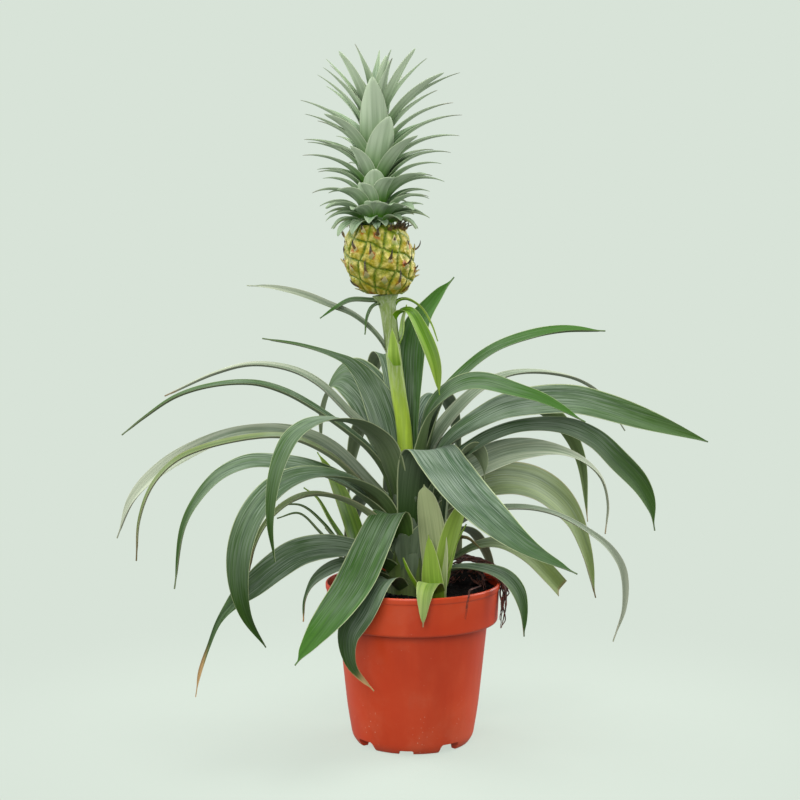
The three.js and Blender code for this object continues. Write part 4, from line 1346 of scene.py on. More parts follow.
# The main roots: radius, and places over the soil and the rim, in millimetres
ROOT_LINES = (
    (2.3, ((20, 45, 103), (26, 46, 108.5), (37, 38.5, 109), (47, 26, 108), (54, 10, 107.5), (57.4, -1, 101),
        (57.2, -7, 92), (55.8, -11, 83), (54.8, -13, 75))),
    (1.7, ((26, 38, 104), (36, 32, 110), (47, 18, 110), (55, 2, 107), (57, -7, 98), (56.4, -11, 88))),
    (1.3, ((30, 16, 103), (41, 8, 107.5), (52, -4, 107), (56.4, -10, 99), (56.2, -13, 90), (54.4, -15, 80))),
    (1.3, ((34, 24, 105), (45, 18, 109.5), (54, 12, 107.5), (58.6, 7, 99), (58.4, 3, 89))),
    (1.2, ((36, 14, 103), (46, 4, 108), (53.5, -3, 106), (57.4, -3, 99), (57.4, -1, 87))),
    (1.1, ((28, 30, 103), (40, 30, 107), (49, 26, 107), (55.4, 19, 100), (55.6, 15, 91))),
    (0.55, ((38, 8, 101), (42, -14, 102), (38, -34, 104.5), (33.8, -46.4, 105), (32.6, -51.6, 99),
        (31.4, -52.4, 89))),
    (1, ((20, 30, 101), (28, 22, 107), (37, 12, 108), (44, -2, 105), (44, -14, 99))),
)


@dataclass
class RootMass:
    """The fibrous roots on the soil at the right: a crust of strands, some hanging over the rim."""

    main: tuple[tuple[float, tuple[Point, ...]], ...] = ROOT_LINES
    heap_centre: Point = (34, 18, 100.5)
    heap_radii: Point = (11.5, 11.5, 6.5)
    fibres: int = 9
    strays: int = 64
    seed: int = 21

    def braid(self, radius: float, line: Sequence[Row], chance: np.random.Generator) -> list[Strand]:
        """Winds fibres round one main line.

        Args:
            radius: the line's radius.
            line: its places.
            chance: draws each fibre's course.

        Returns:
            The fibres.
        """
        walk = Walk(np.array(line, dtype=float))
        count = max(round(walk.length / 1.6), 12)
        s = np.linspace(0, 1, count)
        points, _ = walk.at(s)
        made = []
        for fibre in range(self.fibres):
            phase, turns = chance.uniform(0, 6.28), chance.uniform(1.5, 4)
            angle = phase + turns * 2 * pi * s
            reach = radius * (0.15 + 0.75 * (fibre > 0)) * (1 + 0.3 * np.sin(9 * s + phase))
            shift = np.stack([np.cos(angle), np.sin(angle), np.sin(angle * 1.3) * 0.6], axis=1)
            end = count if fibre < 3 else int(count * chance.uniform(0.6, 1))
            thick = radius * chance.uniform(0.24, 0.42) * (1 - 0.75 * s**3)
            made.append(((points + shift * reach[:, None])[:end], thick[:end]))
        return made

    def loose(self, chance: np.random.Generator) -> Strand | None:
        """Lays one loose strand on the clump and the soil.

        Args:
            chance: draws its place and course.

        Returns:
            The strand, or nothing where it would leave the pot.
        """
        cx, cy, cz = self.heap_centre
        heading, away = chance.uniform(0, 6.28), chance.uniform(0, 12)
        start = np.array([cx + cos(heading) * away, cy + sin(heading) * away])
        travel = heading + chance.uniform(-1.4, 1.4)
        length = chance.uniform(8, 20)
        s = np.linspace(0, 1, 14)
        flat = start + np.outer(s * length, [cos(travel), sin(travel)])
        keep = np.linalg.norm(flat, axis=1) < 51
        flat, s = flat[keep], s[keep]
        if len(s) < 5:
            return None
        soil = np.array([Soil().height(x, y) for x, y in flat])
        dome = np.clip(1 - ((flat[:, 0] - cx) ** 2 + (flat[:, 1] - cy) ** 2) / 140, 0, 1) ** 0.5 * 5.2
        height = np.maximum(soil + 0.4, cz + dome) + 0.9 * np.sin(s * 9 + heading) + 0.4
        return np.column_stack([flat, height]), chance.uniform(0.16, 0.5) * (1 - 0.5 * s)

    def heap(self) -> Shell:
        """Makes the lumpy clump of soil and roots under the strands.

        Returns:
            The shell.
        """
        rows = []
        levels, around = 18, 30
        for level in range(levels):
            polar = pi * (level + 0.5) / levels
            for k in range(around):
                angle = 2 * pi * k / around
                flat = sin(polar)
                ball = Vector((flat * cos(angle), flat * sin(angle), cos(polar)))
                lump = 1 + 0.14 * noise.noise(ball * 2.2) + 0.1 * noise.noise(ball * 6)
                rows.append([c + r * b * lump for c, r, b in zip(self.heap_centre, self.heap_radii, ball)])
        return Shell(rows, tube_faces(levels, around), SoilFinish())

    def make(self) -> None:
        """Builds the clump and sweeps the strands."""
        seat(build("root_clump", [self.heap()], crease=80), "fibrous_roots", "root_strands")
        chance = np.random.default_rng(self.seed)
        strands = [fibre for radius, line in self.main for fibre in self.braid(radius, line, chance)]
        strands += [strand for _ in range(self.strays) if (strand := self.loose(chance))]
        rows, edges, thickness = [], [], []
        for points, thick in strands:
            start = len(rows)
            rows += (points * MM).tolist()
            thickness += (thick * MM).tolist()
            edges += [(start + i, start + i + 1) for i in range(len(points) - 1)]
        mesh = bpy.data.meshes.new("strand_host")
        mesh.from_pydata(rows, edges, [])
        carry(mesh, "thickness", thickness)
        host = put("strand_host", mesh)
        made = StrandPattern("root_strands").run(host, "root_fibres", Wander=0.0012, Sides=6, Fineness=220.0,
                                                 Finish=RootFinish().material())
        made.data.shade_smooth()
        seat(made, "fibrous_roots")


# The narrow leaves on the stalk, about its own middle line
STALK_LEAVES = (
    Leaf(180, 6, ((0, 222), (5, 243), (14, 258), (28, 270), (42, 276), (60, 283), (78, 287), (94, 288)),
        Tone.ASH, widths=(1.6, 1.1, 0.75, 0.7, 0.8, 0.85, 0.6, 0.1), rolls=(0, 30, 50, 60, 60, 50)),
    Leaf(325, 8.5, ((0, 262), (6, 272), (14, 273), (23, 262), (33, 242), (37, 222)), Tone.LIME,
        widths=(0.8, 0.9, 1.05, 1.2, 1.15, 0.8, 0.05), rolls=(0, 20, 35, 40)),
    Leaf(8, 5, ((0, 268), (5, 278.5), (11, 280), (20, 275), (27, 264), (31, 253)), Tone.YOUNG),
    Leaf(186, 7, ((0, 268), (6, 278), (13, 279), (24, 279), (34, 274), (43, 268)), Tone.GREEN,
        rolls=(0, 20, 30)),
    Leaf(206, 5, ((0, 266), (5, 277), (11, 276), (15, 270), (17, 258)), Tone.GREEN),
    Leaf(20, 9, ((0, 246), (5.4, 258), (6.6, 268), (8.6, 276)), Tone.YOUNG),
    Leaf(250, 9, ((0, 232), (5.2, 244), (6.4, 254), (7.6, 262)), Tone.YOUNG),
    Leaf(130, 9, ((0, 214), (5.2, 226), (6.4, 238), (8, 248)), Tone.YOUNG),
)


@dataclass
class Stalk:
    """The stout short stem and the fruit stalk on it, with its narrow leaves and clasping bracts."""

    leaves: tuple[Leaf, ...] = STALK_LEAVES
    sheaths: int = 26
    leaf_seed: int = 300
    sheath_seed: int = 5

    @staticmethod
    def stem_at(height: float) -> Pair:
        """How far to the right the stem's middle stands at a height, and its radius."""
        across, _, heights, radii = np.array(STEM_LINE).T
        return float(np.interp(height, heights, across)), float(np.interp(height, heights, radii))

    def make(self) -> None:
        """Builds the stem with its leaves, and the old leaf bases round its foot."""
        shells = [RoundBar(around=32, step=1.6).shell(STEM_LINE, StalkFinish(), flute=0.022)]
        blade = StrapBlade(foot_share=0.9, keel=0.8, edge=0.3, step=1.6)
        for k, row in enumerate(self.leaves):
            shells.append(blade.shell(row, (self.stem_at(row.line[0][1])[0], 0), self.leaf_seed + k))
        seat(build("stalk", shells), "green_stalk", "stem")
        seat(self.sheath_scales(), "green_stalk")

    def sheath_scales(self) -> Object:
        """Grows the short clasping leaf bases that cover the stem between the long leaves.

        Returns:
            The bases as one mesh.
        """
        chance = random.Random(self.sheath_seed)
        spots = []
        for k in range(self.sheaths):
            height = lerp(94, 142, k / self.sheaths)
            middle, radius = self.stem_at(height)
            azimuth = GOLDEN_ANGLE * k + 11
            angle, reach = radians(azimuth), radius - 1.2
            root = (middle + reach * cos(angle), reach * sin(angle), height)
            spots.append(BladeSpot(root, azimuth, 86, chance.uniform(-4, 16), chance.uniform(20, 30), 19,
                                   tint=chance.random()))
        # The bases take the deep green tone, darker as painted shade down at the stem's foot.
        return SmallBlades((1, 1, 0.92, 0.7, 0.3), fold=0.75).grow("stem_sheaths", spots, Tone.DEEP.value)


# The long leaves, from the innermost out
LONG_LEAVES = (
    Leaf(80, 15, ((5, 148), (8, 170), (9.5, 200), (10, 228), (12, 248), (19, 263), (31, 278), (39, 292)),
        Tone.GREEN, sway=-38, widths=(0.5, 0.5, 0.55, 0.7, 0.95, 1.2, 1.2, 0.9, 0.1)),
    Leaf(104, 19, ((5, 146), (9, 166), (16, 195), (27, 220), (42, 236), (60, 241), (82, 236), (104, 218),
        (120, 192))),
    Leaf(12, 15, ((5, 146), (8, 166), (12, 190), (21, 217), (34, 232), (54, 247), (76, 255), (100, 259),
        (128, 258)), Tone.GREEN, roll=20, widths=(0.6, 0.9, 0.95, 0.8, 0.8, 0.9, 1, 0.8, 0.05)),
    Leaf(150, 18, ((5, 144), (8, 165), (13, 191), (26, 221), (41, 237), (57, 243), (80, 248), (109, 251)),
        widths=(0.9, 1.4, 1.65, 1.6, 1, 0.42, 0.24, 0.18, 0.05), rolls=(0, 10, 25, 30, 20, 15)),
    Leaf(335, 15, ((5, 143), (7, 165), (9, 190), (14, 209), (23, 220), (36, 228), (50, 230), (70, 226),
        (90, 221), (117, 209)), Tone.GREEN, widths=(1, 1.6, 1.8, 1.6, 1.25, 0.95, 0.65, 0.05), rolls=(0, 15,
        30, 35, 30, 25)),
    Leaf(128, 30, ((5, 140), (9, 160), (17, 184), (29, 205), (46, 221), (66, 228), (82, 220), (92, 200),
        (94, 180)), peak=0.45, open=0.6, rolls=(0, 15, 35, 50, 50, 40)),
    Leaf(32, 10, ((5, 140), (8, 160), (14, 180), (25, 197), (46, 216), (68, 227), (87, 230), (112, 228),
        (134, 222), (152, 211), (172, 186)), Tone.ASH, roll=10, widths=(0.9, 1.5, 1.7, 1.3, 1, 0.9, 0.7, 0.4,
        0.05)),
    Leaf(172, 13, ((5, 138), (8, 158), (13, 177), (21, 193), (37, 208), (56, 226), (74, 235), (99, 238),
        (123, 232), (156, 217)), Tone.ASH, roll=10, dry=0.06),
    Leaf(357, 26, ((5, 136), (8, 156), (14, 176), (28, 193), (46, 205), (61, 212), (84, 216), (104, 216),
        (122, 212), (147, 204), (188, 190)), roll=45, sway=4, peak=0.62),
    Leaf(183, 13, ((5, 134), (8, 152), (13, 170), (23, 185), (38, 198), (61, 214), (78, 223), (96, 228),
        (120, 227), (144, 220), (164, 207), (178, 196)), roll=10),
    Leaf(73, 18, ((5, 134), (9, 154), (18, 178), (34, 200), (54, 211), (76, 212), (98, 202), (114, 182),
        (122, 154)), Tone.DEEP),
    Leaf(43, 18, ((5, 130), (9, 148), (18, 168), (36, 188), (60, 203), (84, 210), (103, 209), (125, 201),
        (145, 187), (161, 164), (169, 120)), Tone.GREEN, dry=0.05, rolls=(0, -15, -30, -40, -40, -30)),
    Leaf(236, 20, ((6, 138), (9, 156), (15, 172), (28, 193), (52, 207), (78, 213), (100, 213), (122, 205),
        (136, 186), (141, 160), (137, 136)), open=0.5),
    Leaf(302, 32, ((6, 134), (9, 152), (12, 171), (17, 185), (26, 189), (40, 181), (60, 168), (81, 157),
        (117, 141), (155, 131)), Tone.DEEP, sway=6, peak=0.4, open=0.35, widths=(0.7, 0.85, 1, 1.12, 1.16,
        1.08, 0.92, 0.66, 0.36, 0.05)),
    Leaf(176, 16, ((5, 128), (9, 142), (15, 153), (25, 164), (44, 183), (57, 191), (75, 196), (95, 197),
        (112, 194), (136, 184), (158, 170), (175, 152), (185.5, 127)), Tone.ASH, widths=(0.6, 0.9, 1, 0.9,
        0.45, 0.6, 0.85, 0.8, 0.05), rolls=(0, 10, 20, 25, 65, 60, 45, 30, 20)),
    Leaf(0, 17, ((5, 128), (9, 146), (12, 160), (20, 173), (37, 185), (52, 194), (71, 200), (97, 200),
        (116, 192), (131, 178), (145, 163), (152, 149), (155, 134)), widths=(0.6, 0.75, 0.8, 0.75, 0.8, 1,
        1.1, 0.9, 0.05), rolls=(0, 20, 30, 30, 40, 50, 50)),
    Leaf(191, 10, ((5, 126), (9, 140), (14, 148), (23, 158), (43, 179), (62, 191), (78, 196), (97, 196),
        (128, 190), (146, 182), (160, 167), (168, 146), (170, 121)), Tone.OLIVE, roll=10, dry=0.08),
    Leaf(90, 20, ((6, 128), (10, 146), (20, 168), (37, 190), (60, 203), (84, 203), (104, 188), (118, 162),
        (124, 132)), Tone.DEEP),
    Leaf(109, 18, ((6, 124), (10, 140), (20, 160), (37, 182), (58, 194), (82, 195), (103, 183), (118, 160),
        (126, 132))),
    Leaf(27, 18, ((5, 122), (10, 138), (18, 151), (30, 162), (53, 174), (76, 180), (107, 179), (130, 170),
        (144, 157), (149, 140), (147, 120)), Tone.ASH, dry=0.04, widths=(0.6, 0.8, 1.1, 1.2, 1, 0.5, 0.3, 0.2,
        0.05), rolls=(0, 25, 45, 50, 40, 20)),
    Leaf(220, 19, ((6, 126), (10, 138), (14, 148), (24, 160), (46, 172), (67, 177), (86, 177), (104, 171),
        (119, 158), (128, 140), (130, 119), (125, 98), (111, 76)), roll=24, peak=0.6),
    Leaf(199, 14, ((6, 120), (10, 134), (18, 148), (41, 167), (64, 177), (84, 181), (103, 182), (121, 175),
        (135, 161), (144, 144), (150, 107)), widths=(0.7, 1, 1.25, 1.35, 1.2, 0.9, 0.6, 0.35, 0.05), rolls=(0,
        20, 28, 30, 25, 15)),
    Leaf(38, 22, ((6, 116), (11, 130), (22, 142), (41, 151), (64, 157), (84, 158), (110, 151), (136, 132),
        (152, 104), (163, 70)), Tone.OLIVE, dry=0.04, widths=(0.5, 0.7, 0.95, 1.25, 1.45, 1.5, 1.2, 0.7,
        0.05), rolls=(0, 20, 40, 58, 66, 60)),
    Leaf(214, 11, ((6, 114), (11, 127), (24, 144), (48, 159), (70, 164), (88, 160), (103, 149), (111, 136),
        (115, 121)), Tone.OLIVE, dry=0.1),
    Leaf(96, 18, ((6, 116), (11, 130), (24, 146), (48, 158), (76, 158), (100, 142), (116, 116), (123, 88)),
        Tone.DEEP),
    Leaf(72, 17, ((6, 112), (11, 126), (26, 142), (50, 151), (76, 147), (98, 129), (112, 100), (117, 78))),
    Leaf(114, 16, ((6, 112), (11, 126), (26, 140), (48, 149), (70, 146), (88, 130), (99, 104), (103, 80)),
        Tone.DEEP),
    Leaf(240, 26, ((7, 120), (11, 134), (15, 144), (22, 149), (31, 144), (45, 131), (65, 112), (94, 95),
        (131, 76)), Tone.GREEN, open=0.35, widths=(0.62, 0.78, 0.9, 0.98, 1.06, 1.12, 1.08, 0.88, 0.5, 0.05)),
    Leaf(11, 11, ((6, 110), (12, 122), (27, 135), (43, 144), (62, 147), (81, 146), (98, 141), (119, 129),
        (133, 117), (141, 103), (142, 80), (135, 57)), Tone.ASH, widths=(0.8, 0.9, 0.85, 0.7, 0.45, 0.4, 0.54,
        0.42, 0.05), rolls=(0, 10, 14, 20, 60, 90, 40)),
    Leaf(212, 19, ((6, 102), (11, 111), (19, 118), (40, 126), (61, 129), (80, 127), (95, 120), (109, 111),
        (122, 103), (133, 92), (140, 78), (146, 63), (149, 48)), dry=0.16, widths=(0.7, 1, 1.15, 1.2, 1.15,
        1.1, 1, 0.8, 0.25, 0.12, 0.16, 0.05), rolls=(0, 20, 34, 40, 40, 50, 90, 60)),
    Leaf(18, 13, ((8, 102), (15, 108), (30, 115), (43, 121), (53, 123), (63, 122), (81, 113), (95, 100),
        (104, 90)), Tone.OLIVE, cut=True, dry=0.02, widths=(0.35, 0.4, 0.6, 1.05, 1.35, 1.3), rolls=(0, 25,
        45, 58)),
    Leaf(341, 13, ((8, 100), (15, 106), (31, 113), (50, 113), (63, 109), (71, 101), (75, 89), (76, 72)),
        widths=(0.45, 0.5, 0.55, 0.75, 1.05, 1, 0.5, 0.05), rolls=(0, 15, 30, 35)),
    Leaf(196, 14, ((8, 99), (15, 106), (26, 112), (40, 115), (53, 111), (62, 104), (67, 94), (68, 80)),
        roll=25, dry=0.08, widths=(0.7, 0.9, 1, 1.05, 1, 0.9, 0.6, 0.2, 0.12, 0.05)),
    Leaf(247, 15, ((9, 98), (24, 107), (42, 111), (55, 107.5), (63, 96, -3), (65, 79, -11), (63, 61, -10),
        (61, 46, 3)), dry=0.14, open=0.6, widths=(0.8, 1, 1.2, 1.35, 1.4, 1.3, 1.1, 0.8, 0.34, 0.1)),
    Leaf(352, 8, ((7, 106), (14, 118), (26, 129), (37, 131), (46, 124)), Tone.OLIVE, dry=0.4),
    Leaf(55, 15, ((8, 104), (14, 113), (30, 125), (52, 129), (76, 121), (94, 101), (104, 76)), Tone.DEEP),
    Leaf(118, 14, ((8, 104), (14, 112), (28, 121), (44, 124), (58, 116), (67, 98), (70, 78)), dry=0.08),
    Leaf(86, 15, ((8, 100), (15, 107), (30, 115), (54, 116), (74, 103), (86, 80))),
)


@dataclass
class Rosette:
    """The long strap leaves, one piece for each."""

    leaves: tuple[Leaf, ...] = LONG_LEAVES
    olive: tuple[int, ...] = (17, 20, 23, 24)
    seed: int = 40

    def make(self) -> None:
        """Builds each leaf and stands it for its node."""
        blade = StrapBlade()
        for number, row in enumerate(self.leaves, 1):
            made = build(f"blade_{number:02d}", [blade.shell(row, ROSETTE_AXIS, self.seed + number)])
            slot = "olive_leaf" if number in self.olive else "rosette_leaf"
            seat(made, slot, f"leaf_{number:02d}")


@dataclass
class Shoot:
    """A young offset shoot beside the stem."""

    name: str
    foot: Pair
    heart: float
    seed: int
    leaves: tuple[Leaf, ...]

    def make(self) -> None:
        """Builds the heart and its leaves as one piece."""
        x, y = self.foot
        heart = ((x, y, 80, self.heart), (x, y, 97, self.heart + 1), (x, y, 109, 2))
        shells = [RoundBar(around=16).shell(heart, Tone.LIME.value)]
        blade = StrapBlade(foot_share=0.72, keel=1.0, edge=0.34, step=1.8)
        shells += [blade.shell(row, self.foot, self.seed + k) for k, row in enumerate(self.leaves)]
        seat(build(self.name + "_blades", shells), "young_leaf", self.name)


SHOOTS = (
    Shoot("shoot_front", (15, -17), 4, 200, (
        Leaf(236, 16, ((0, 84), (2, 104), (4, 122), (8, 142), (15, 168)), Tone.PALE, widths=(0.7, 0.9, 1.15,
            1.35, 1.35, 1.15, 0.5), open=0.5),
        Leaf(322, 17, ((0, 84), (3, 104), (7, 122), (13, 142), (22, 160)), Tone.YOUNG, widths=(0.7, 0.9, 1.1,
            1.2, 1.15, 0.95, 0.4), open=0.5),
        Leaf(40, 12, ((0, 84), (2, 112), (5, 142), (10, 166), (19, 182), (28, 186), (35, 183), (39, 175),
            (39, 165)), widths=(0.5, 0.7, 0.9, 1, 1.1, 1.2, 0.9, 0.05), rolls=(0, -20, -40, -50)),
        Leaf(205, 8, ((0, 84), (8, 94), (15, 105), (20, 114), (23, 122)), Tone.LIME,
            widths=(1.1, 1.3, 1.1, 0.7, 0.1)),
        Leaf(8, 9, ((0, 84), (4, 102), (8, 118), (12, 130), (18, 141)), Tone.LIME),
        Leaf(248, 13, ((0, 84), (6, 98), (10, 112), (12, 124), (15, 137)), Tone.YOUNG, widths=(0.9, 1.1, 1.2,
            1.1, 0.85, 0.5, 0.05), open=0.6),
        Leaf(258, 13, ((0, 84), (6, 99), (18, 107.5), (32, 109), (39.8, 105), (43.4, 96.5), (44.4, 86)),
            Tone.YOUNG, dry=0.06, open=0.35, widths=(0.8, 1, 1, 1.05, 1.1, 1, 0.75, 0.4, 0.05)),
    )),
    Shoot("shoot_left", (-29, 9), 3.5, 220, (
        Leaf(140, 15, ((0, 84), (3, 104), (9, 126), (18, 146), (29, 164), (42, 179)), Tone.LIME, widths=(0.8,
            1, 1.15, 1.2, 1.15, 1, 0.6, 0.05), open=0.6),
        Leaf(196, 12, ((0, 84), (4, 100), (10, 114), (18, 126), (27, 136)),
            widths=(0.8, 1, 1.1, 1, 0.7, 0.05)),
        Leaf(160, 9, ((0, 84), (5, 104), (14, 122), (25, 138), (34, 152), (43, 158)), Tone.LIME),
        Leaf(172, 6, ((0, 84), (6, 104), (16, 121), (28, 137), (42, 148), (57, 148)), Tone.GREEN),
        Leaf(188, 6, ((0, 84), (6, 100), (17, 117), (30, 133), (43, 145), (57, 142)), Tone.GREEN),
    )),
)


@dataclass
class Fruit:
    """The small pineapple: a barrel of bulging eyes in a slanting lattice, with a bract on each eye."""

    base: Point = (-17.8, 0, 283)
    top: Point = (-23.4, 0, 325.5)
    radius: float = 19.9
    relief: float = 2.3
    barrel: tuple[float, float, float, float] = (0.47, 2.4, 0.24, 0.5)
    steep: Pair = (4.8, 11.7)
    steep_turns: int = 3
    shallow_turns: int = 11
    corner: float = 32
    rows: int = 130
    around: int = 340
    collar: int = 16
    eye_rows: int = 8
    seed: int = 8

    @property
    def height(self) -> float:
        """The height from base to top."""
        return self.top[2] - self.base[2]

    @property
    def shallow(self) -> Pair:
        """The lattice's shallow step: how far it goes round and up, in millimetres."""
        across = (2 * pi * self.radius - self.steep_turns * self.steep[0]) / self.shallow_turns
        return across, -self.steep_turns * self.steep[1] / self.shallow_turns

    def girth_at(self, t: np.ndarray) -> np.ndarray:
        """The radii under the eyes at shares of the height."""
        middle, power, *draws = self.barrel
        return self.radius * (1 - np.where(t > middle, *draws) * (2 * np.abs(t - middle)) ** power)

    def place(self, t: np.ndarray, angle: np.ndarray, lift: np.ndarray) -> np.ndarray:
        """Places points on the skin.

        Args:
            t: their shares of the height.
            angle: where they lie round the fruit.
            lift: how far they stand off the barrel.

        Returns:
            The points in millimetres.
        """
        low, high = np.array(self.base), np.array(self.top)
        centre = low + t[..., None] * (high - low)
        way = np.stack([np.cos(angle), np.sin(angle), np.zeros_like(angle)], axis=-1)
        return centre + (self.girth_at(t) + lift)[..., None] * way

    def spot(self, t: float, angle: float, lift: float) -> Row:
        """One point on the skin."""
        return tuple(self.place(np.array(t), np.array(angle), np.array(lift)))

    def eyes(self, t: np.ndarray, angle: np.ndarray) -> tuple[np.ndarray, ...]:
        """Finds each point's eye in the slanting lattice.

        Args:
            t: the points' shares of the height.
            angle: where they lie round the fruit.

        Returns:
            How near each is to a seam and how far from its eye's middle, its eye's chance number, and how
            near it is to a ridge.
        """
        (a, b), (c, d) = self.steep, self.shallow
        x = angle * self.radius + 0.8 * np.sin(4 * angle + 9 * t)
        y = t * self.height + 0.8 * np.sin(5 * angle - 7 * t)
        det = a * d - b * c
        u, v = (x * d - y * c) / det, (y * a - x * b) / det
        base_u, base_v = np.round(u), np.round(v)
        reaches, ids, bearings = [], [], []
        for du in (-1, 0, 1):
            for dv in (-1, 0, 1):
                iu, iv = base_u + du, base_v + dv
                off_x, off_y = x - iu * a - iv * c, y - iu * b - iv * d
                reaches.append(np.hypot(off_x, off_y))
                turns = np.floor(iv / self.shallow_turns)
                ids.append((iu - self.steep_turns * turns) * 31 + (iv - self.shallow_turns * turns) * 7)
                bearings.append(np.arctan2(off_y, off_x))
        order = np.argsort(np.stack(reaches), axis=0)
        ranked = np.take_along_axis(np.stack(reaches), order, axis=0)
        own, bearing = (np.take_along_axis(np.stack(rows), order, axis=0)[0] for rows in (ids, bearings))
        seam = 1 - np.clip((ranked[1] - ranked[0]) / 6.2, 0, 1)
        chance = np.mod(np.sin(own * 12.9898) * 43758.5453, 1)
        ridge = np.abs(np.cos(2 * (bearing - radians(self.corner)) + (chance - 0.5) * 0.5)) ** 7
        return seam, ranked[0] / 5.6, chance, ridge

    def skin(self) -> Shell:
        """Makes the skin.

        Returns:
            The shell, with what its finish reads.
        """
        t, angle = np.meshgrid(np.linspace(0, 1, self.rows), round_angles(self.around), indexing="ij")
        seam, middle, chance, ridge = self.eyes(t, angle)
        fade = np.minimum(1, np.minimum(6 * t, 6 * (1 - t)))
        cell = 0.62 * (1 - seam**2.6) ** 0.5 + 0.4 * np.clip(1 - middle, 0, 1)
        cell += 0.12 * ridge * np.clip(middle, 0, 0.8) - 0.3 * np.exp(-((middle / 0.16) ** 2))
        lumps = [noise.noise(Vector(point) * 0.33) + 0.5 * noise.noise(Vector(point) * 0.8)
                 for point in self.place(t, angle, 0 * t).reshape(-1, 3)]
        lift = self.relief * cell + 0.5 * (chance - 0.5) + 0.5 * np.array(lumps).reshape(t.shape)
        shape = self.place(t, angle, fade * lift)
        grids = {"seam": seam, "middle": middle, "chance": chance, "rise": t, "ridge": ridge}
        faces = tube_faces(self.rows, self.around)
        return Shell(shape, faces, FruitFinish(), flat_values(t.shape, grids))

    def bract_spots(self) -> tuple[list[BladeSpot], list[BladeSpot]]:
        """Places the bracts.

        Returns:
            Where the green ones lie on the eyes, and where the dried ones stand off them.
        """
        chance = random.Random(self.seed)
        draw = chance.uniform
        green, dried = [], []
        for column in range(self.shallow_turns):
            for row in range(self.eye_rows):
                t = (row * self.steep[1] + column * self.shallow[1]) / self.height
                angle = (row * self.steep[0] + column * self.shallow[0]) / self.radius
                if not 0.03 < t < 0.96:
                    continue
                fade = min(1, 6 * t, 6 * (1 - t))
                lean = degrees(atan2(2 * t - 0.94, 1.1)) * 0.9
                azimuth = degrees(angle)
                foot = self.spot(max(t - 0.07, 0.0), angle, fade * 1.2)
                green.append(BladeSpot(foot, azimuth + draw(-9, 9), 62 + lean, draw(-20, 30), draw(5.4, 7.6),
                                       5, draw(-35, 35), chance.random()))
                length = chance.choice((2.8, 4.2, 8.4, 10.6)) + draw(-0.6, 0.6)
                foot = self.spot(t, angle, fade * 1.5)
                dried.append(BladeSpot(foot, azimuth + draw(-8, 8), draw(8, 34), draw(-120, -50), length, 2.9,
                                       draw(-80, 80), chance.random()))
        for _ in range(self.collar):
            azimuth, t = draw(-75, 35), draw(0.9, 0.98)
            foot = self.spot(t, radians(azimuth), 0.2)
            dried.append(BladeSpot(foot, azimuth + draw(-30, 30), draw(10, 60), draw(-130, 60), draw(5, 10),
                                   3.2, draw(-90, 90), chance.random()))
        return green, dried

    def make(self) -> None:
        """Builds the skin and its bracts."""
        seat(build("fruit_body", [self.skin()], crease=80), "fruit_skin", "fruit")
        green, dried = self.bract_spots()
        pale = BractFinish("pale_bract", (158, 172, 84), (196, 184, 128))
        dark = BractFinish("dried_bract", (112, 82, 46), (28, 19, 14))
        broad = SmallBlades((1, 0.95, 0.7, 0.35, 0.08), 8, 5, 0.5, 0.15)
        narrow = SmallBlades((1, 0.8, 0.55, 0.3, 0.06), 9, 5, 0.35, 0.5)
        seat(broad.grow("fruit_bracts", green, pale), "fruit_skin")
        seat(narrow.grow("dried_bracts", dried, dark), "fruit_skin")


# The crown's leaves whose tips show: azimuth, foot's rise, tip across, tip height, bend and width
CROWN_TIPS = (
    (176, 60, -22, 104, 24, 13), (188, 60, -18, 101, 18, 12), (170, 54, -30, 101, 34, 12),
    (184, 48, -35, 91, 48, 13), (172, 42, -46, 76, 52, 13), (190, 34, -35, 63, 66, 13),
    (178, 30, -32, 49, 74, 12), (168, 30, -44, 52, 62, 13), (192, 22, -44, 42, 70, 12),
    (176, 18, -35, 32, 84, 12), (186, 12, -32, 28, 92, 12), (170, 10, -39, 19, 86, 11),
    (182, 6, -34, 11, 92, 11), (200, 3, -30, 2, 92, 10), (6, 60, 20, 103, 22, 13), (354, 56, 32, 101, 40, 14),
    (350, 50, 52, 92, 50, 14), (352, 40, 48, 74, 64, 13), (8, 34, 54, 67, 66, 13), (356, 28, 52, 54, 74, 13),
    (12, 22, 47, 44, 80, 12), (350, 18, 41, 37, 84, 12), (4, 14, 43, 26, 88, 12), (14, 8, 34, 20, 92, 12),
    (348, 6, 33, 17, 92, 11), (8, 3, 30, 12, 88, 11), (352, 2, 24, 6, 84, 10),
)


# The crown's broad front leaves: azimuth, foot's rise, length, slope, bend and width
CROWN_FRONT = (
    (266, 36, 55, 78, 6, 18), (300, 27, 41, 84, 26, 19), (226, 22, 31, 82, 46, 15), (322, 24, 42, 70, 46, 16),
    (204, 56, 54, 77, 22, 13), (334, 56, 57, 73, 20, 12), (340, 48, 62, 66, 40, 12), (306, 62, 42, 82, 14, 8),
    (270, 14, 22, 86, 40, 14), (204, 34, 46, 74, 52, 14), (244, 10, 20, 82, 56, 13),
    (296, 12, 26, 76, 66, 13), (222, 8, 27, 70, 76, 13), (330, 14, 36, 64, 70, 13), (266, 4, 16, 76, 66, 12),
    (292, 4, 20, 68, 84, 12), (240, 3, 20, 64, 88, 12), (206, 4, 27, 60, 92, 11), (316, 4, 27, 60, 96, 11),
    (262, 2, 15, 42, 92, 8), (240, 1, 20, 26, 96, 8), (310, 2, 17, 46, 88, 7), (222, 1, 23, 18, 80, 7.5),
    (206, 1, 21, 40, 104, 8), (334, 1, 21, 40, 104, 8), (288, 1, 13, 30, 76, 6), (274, 1, 12, 10, 56, 5.5),
)


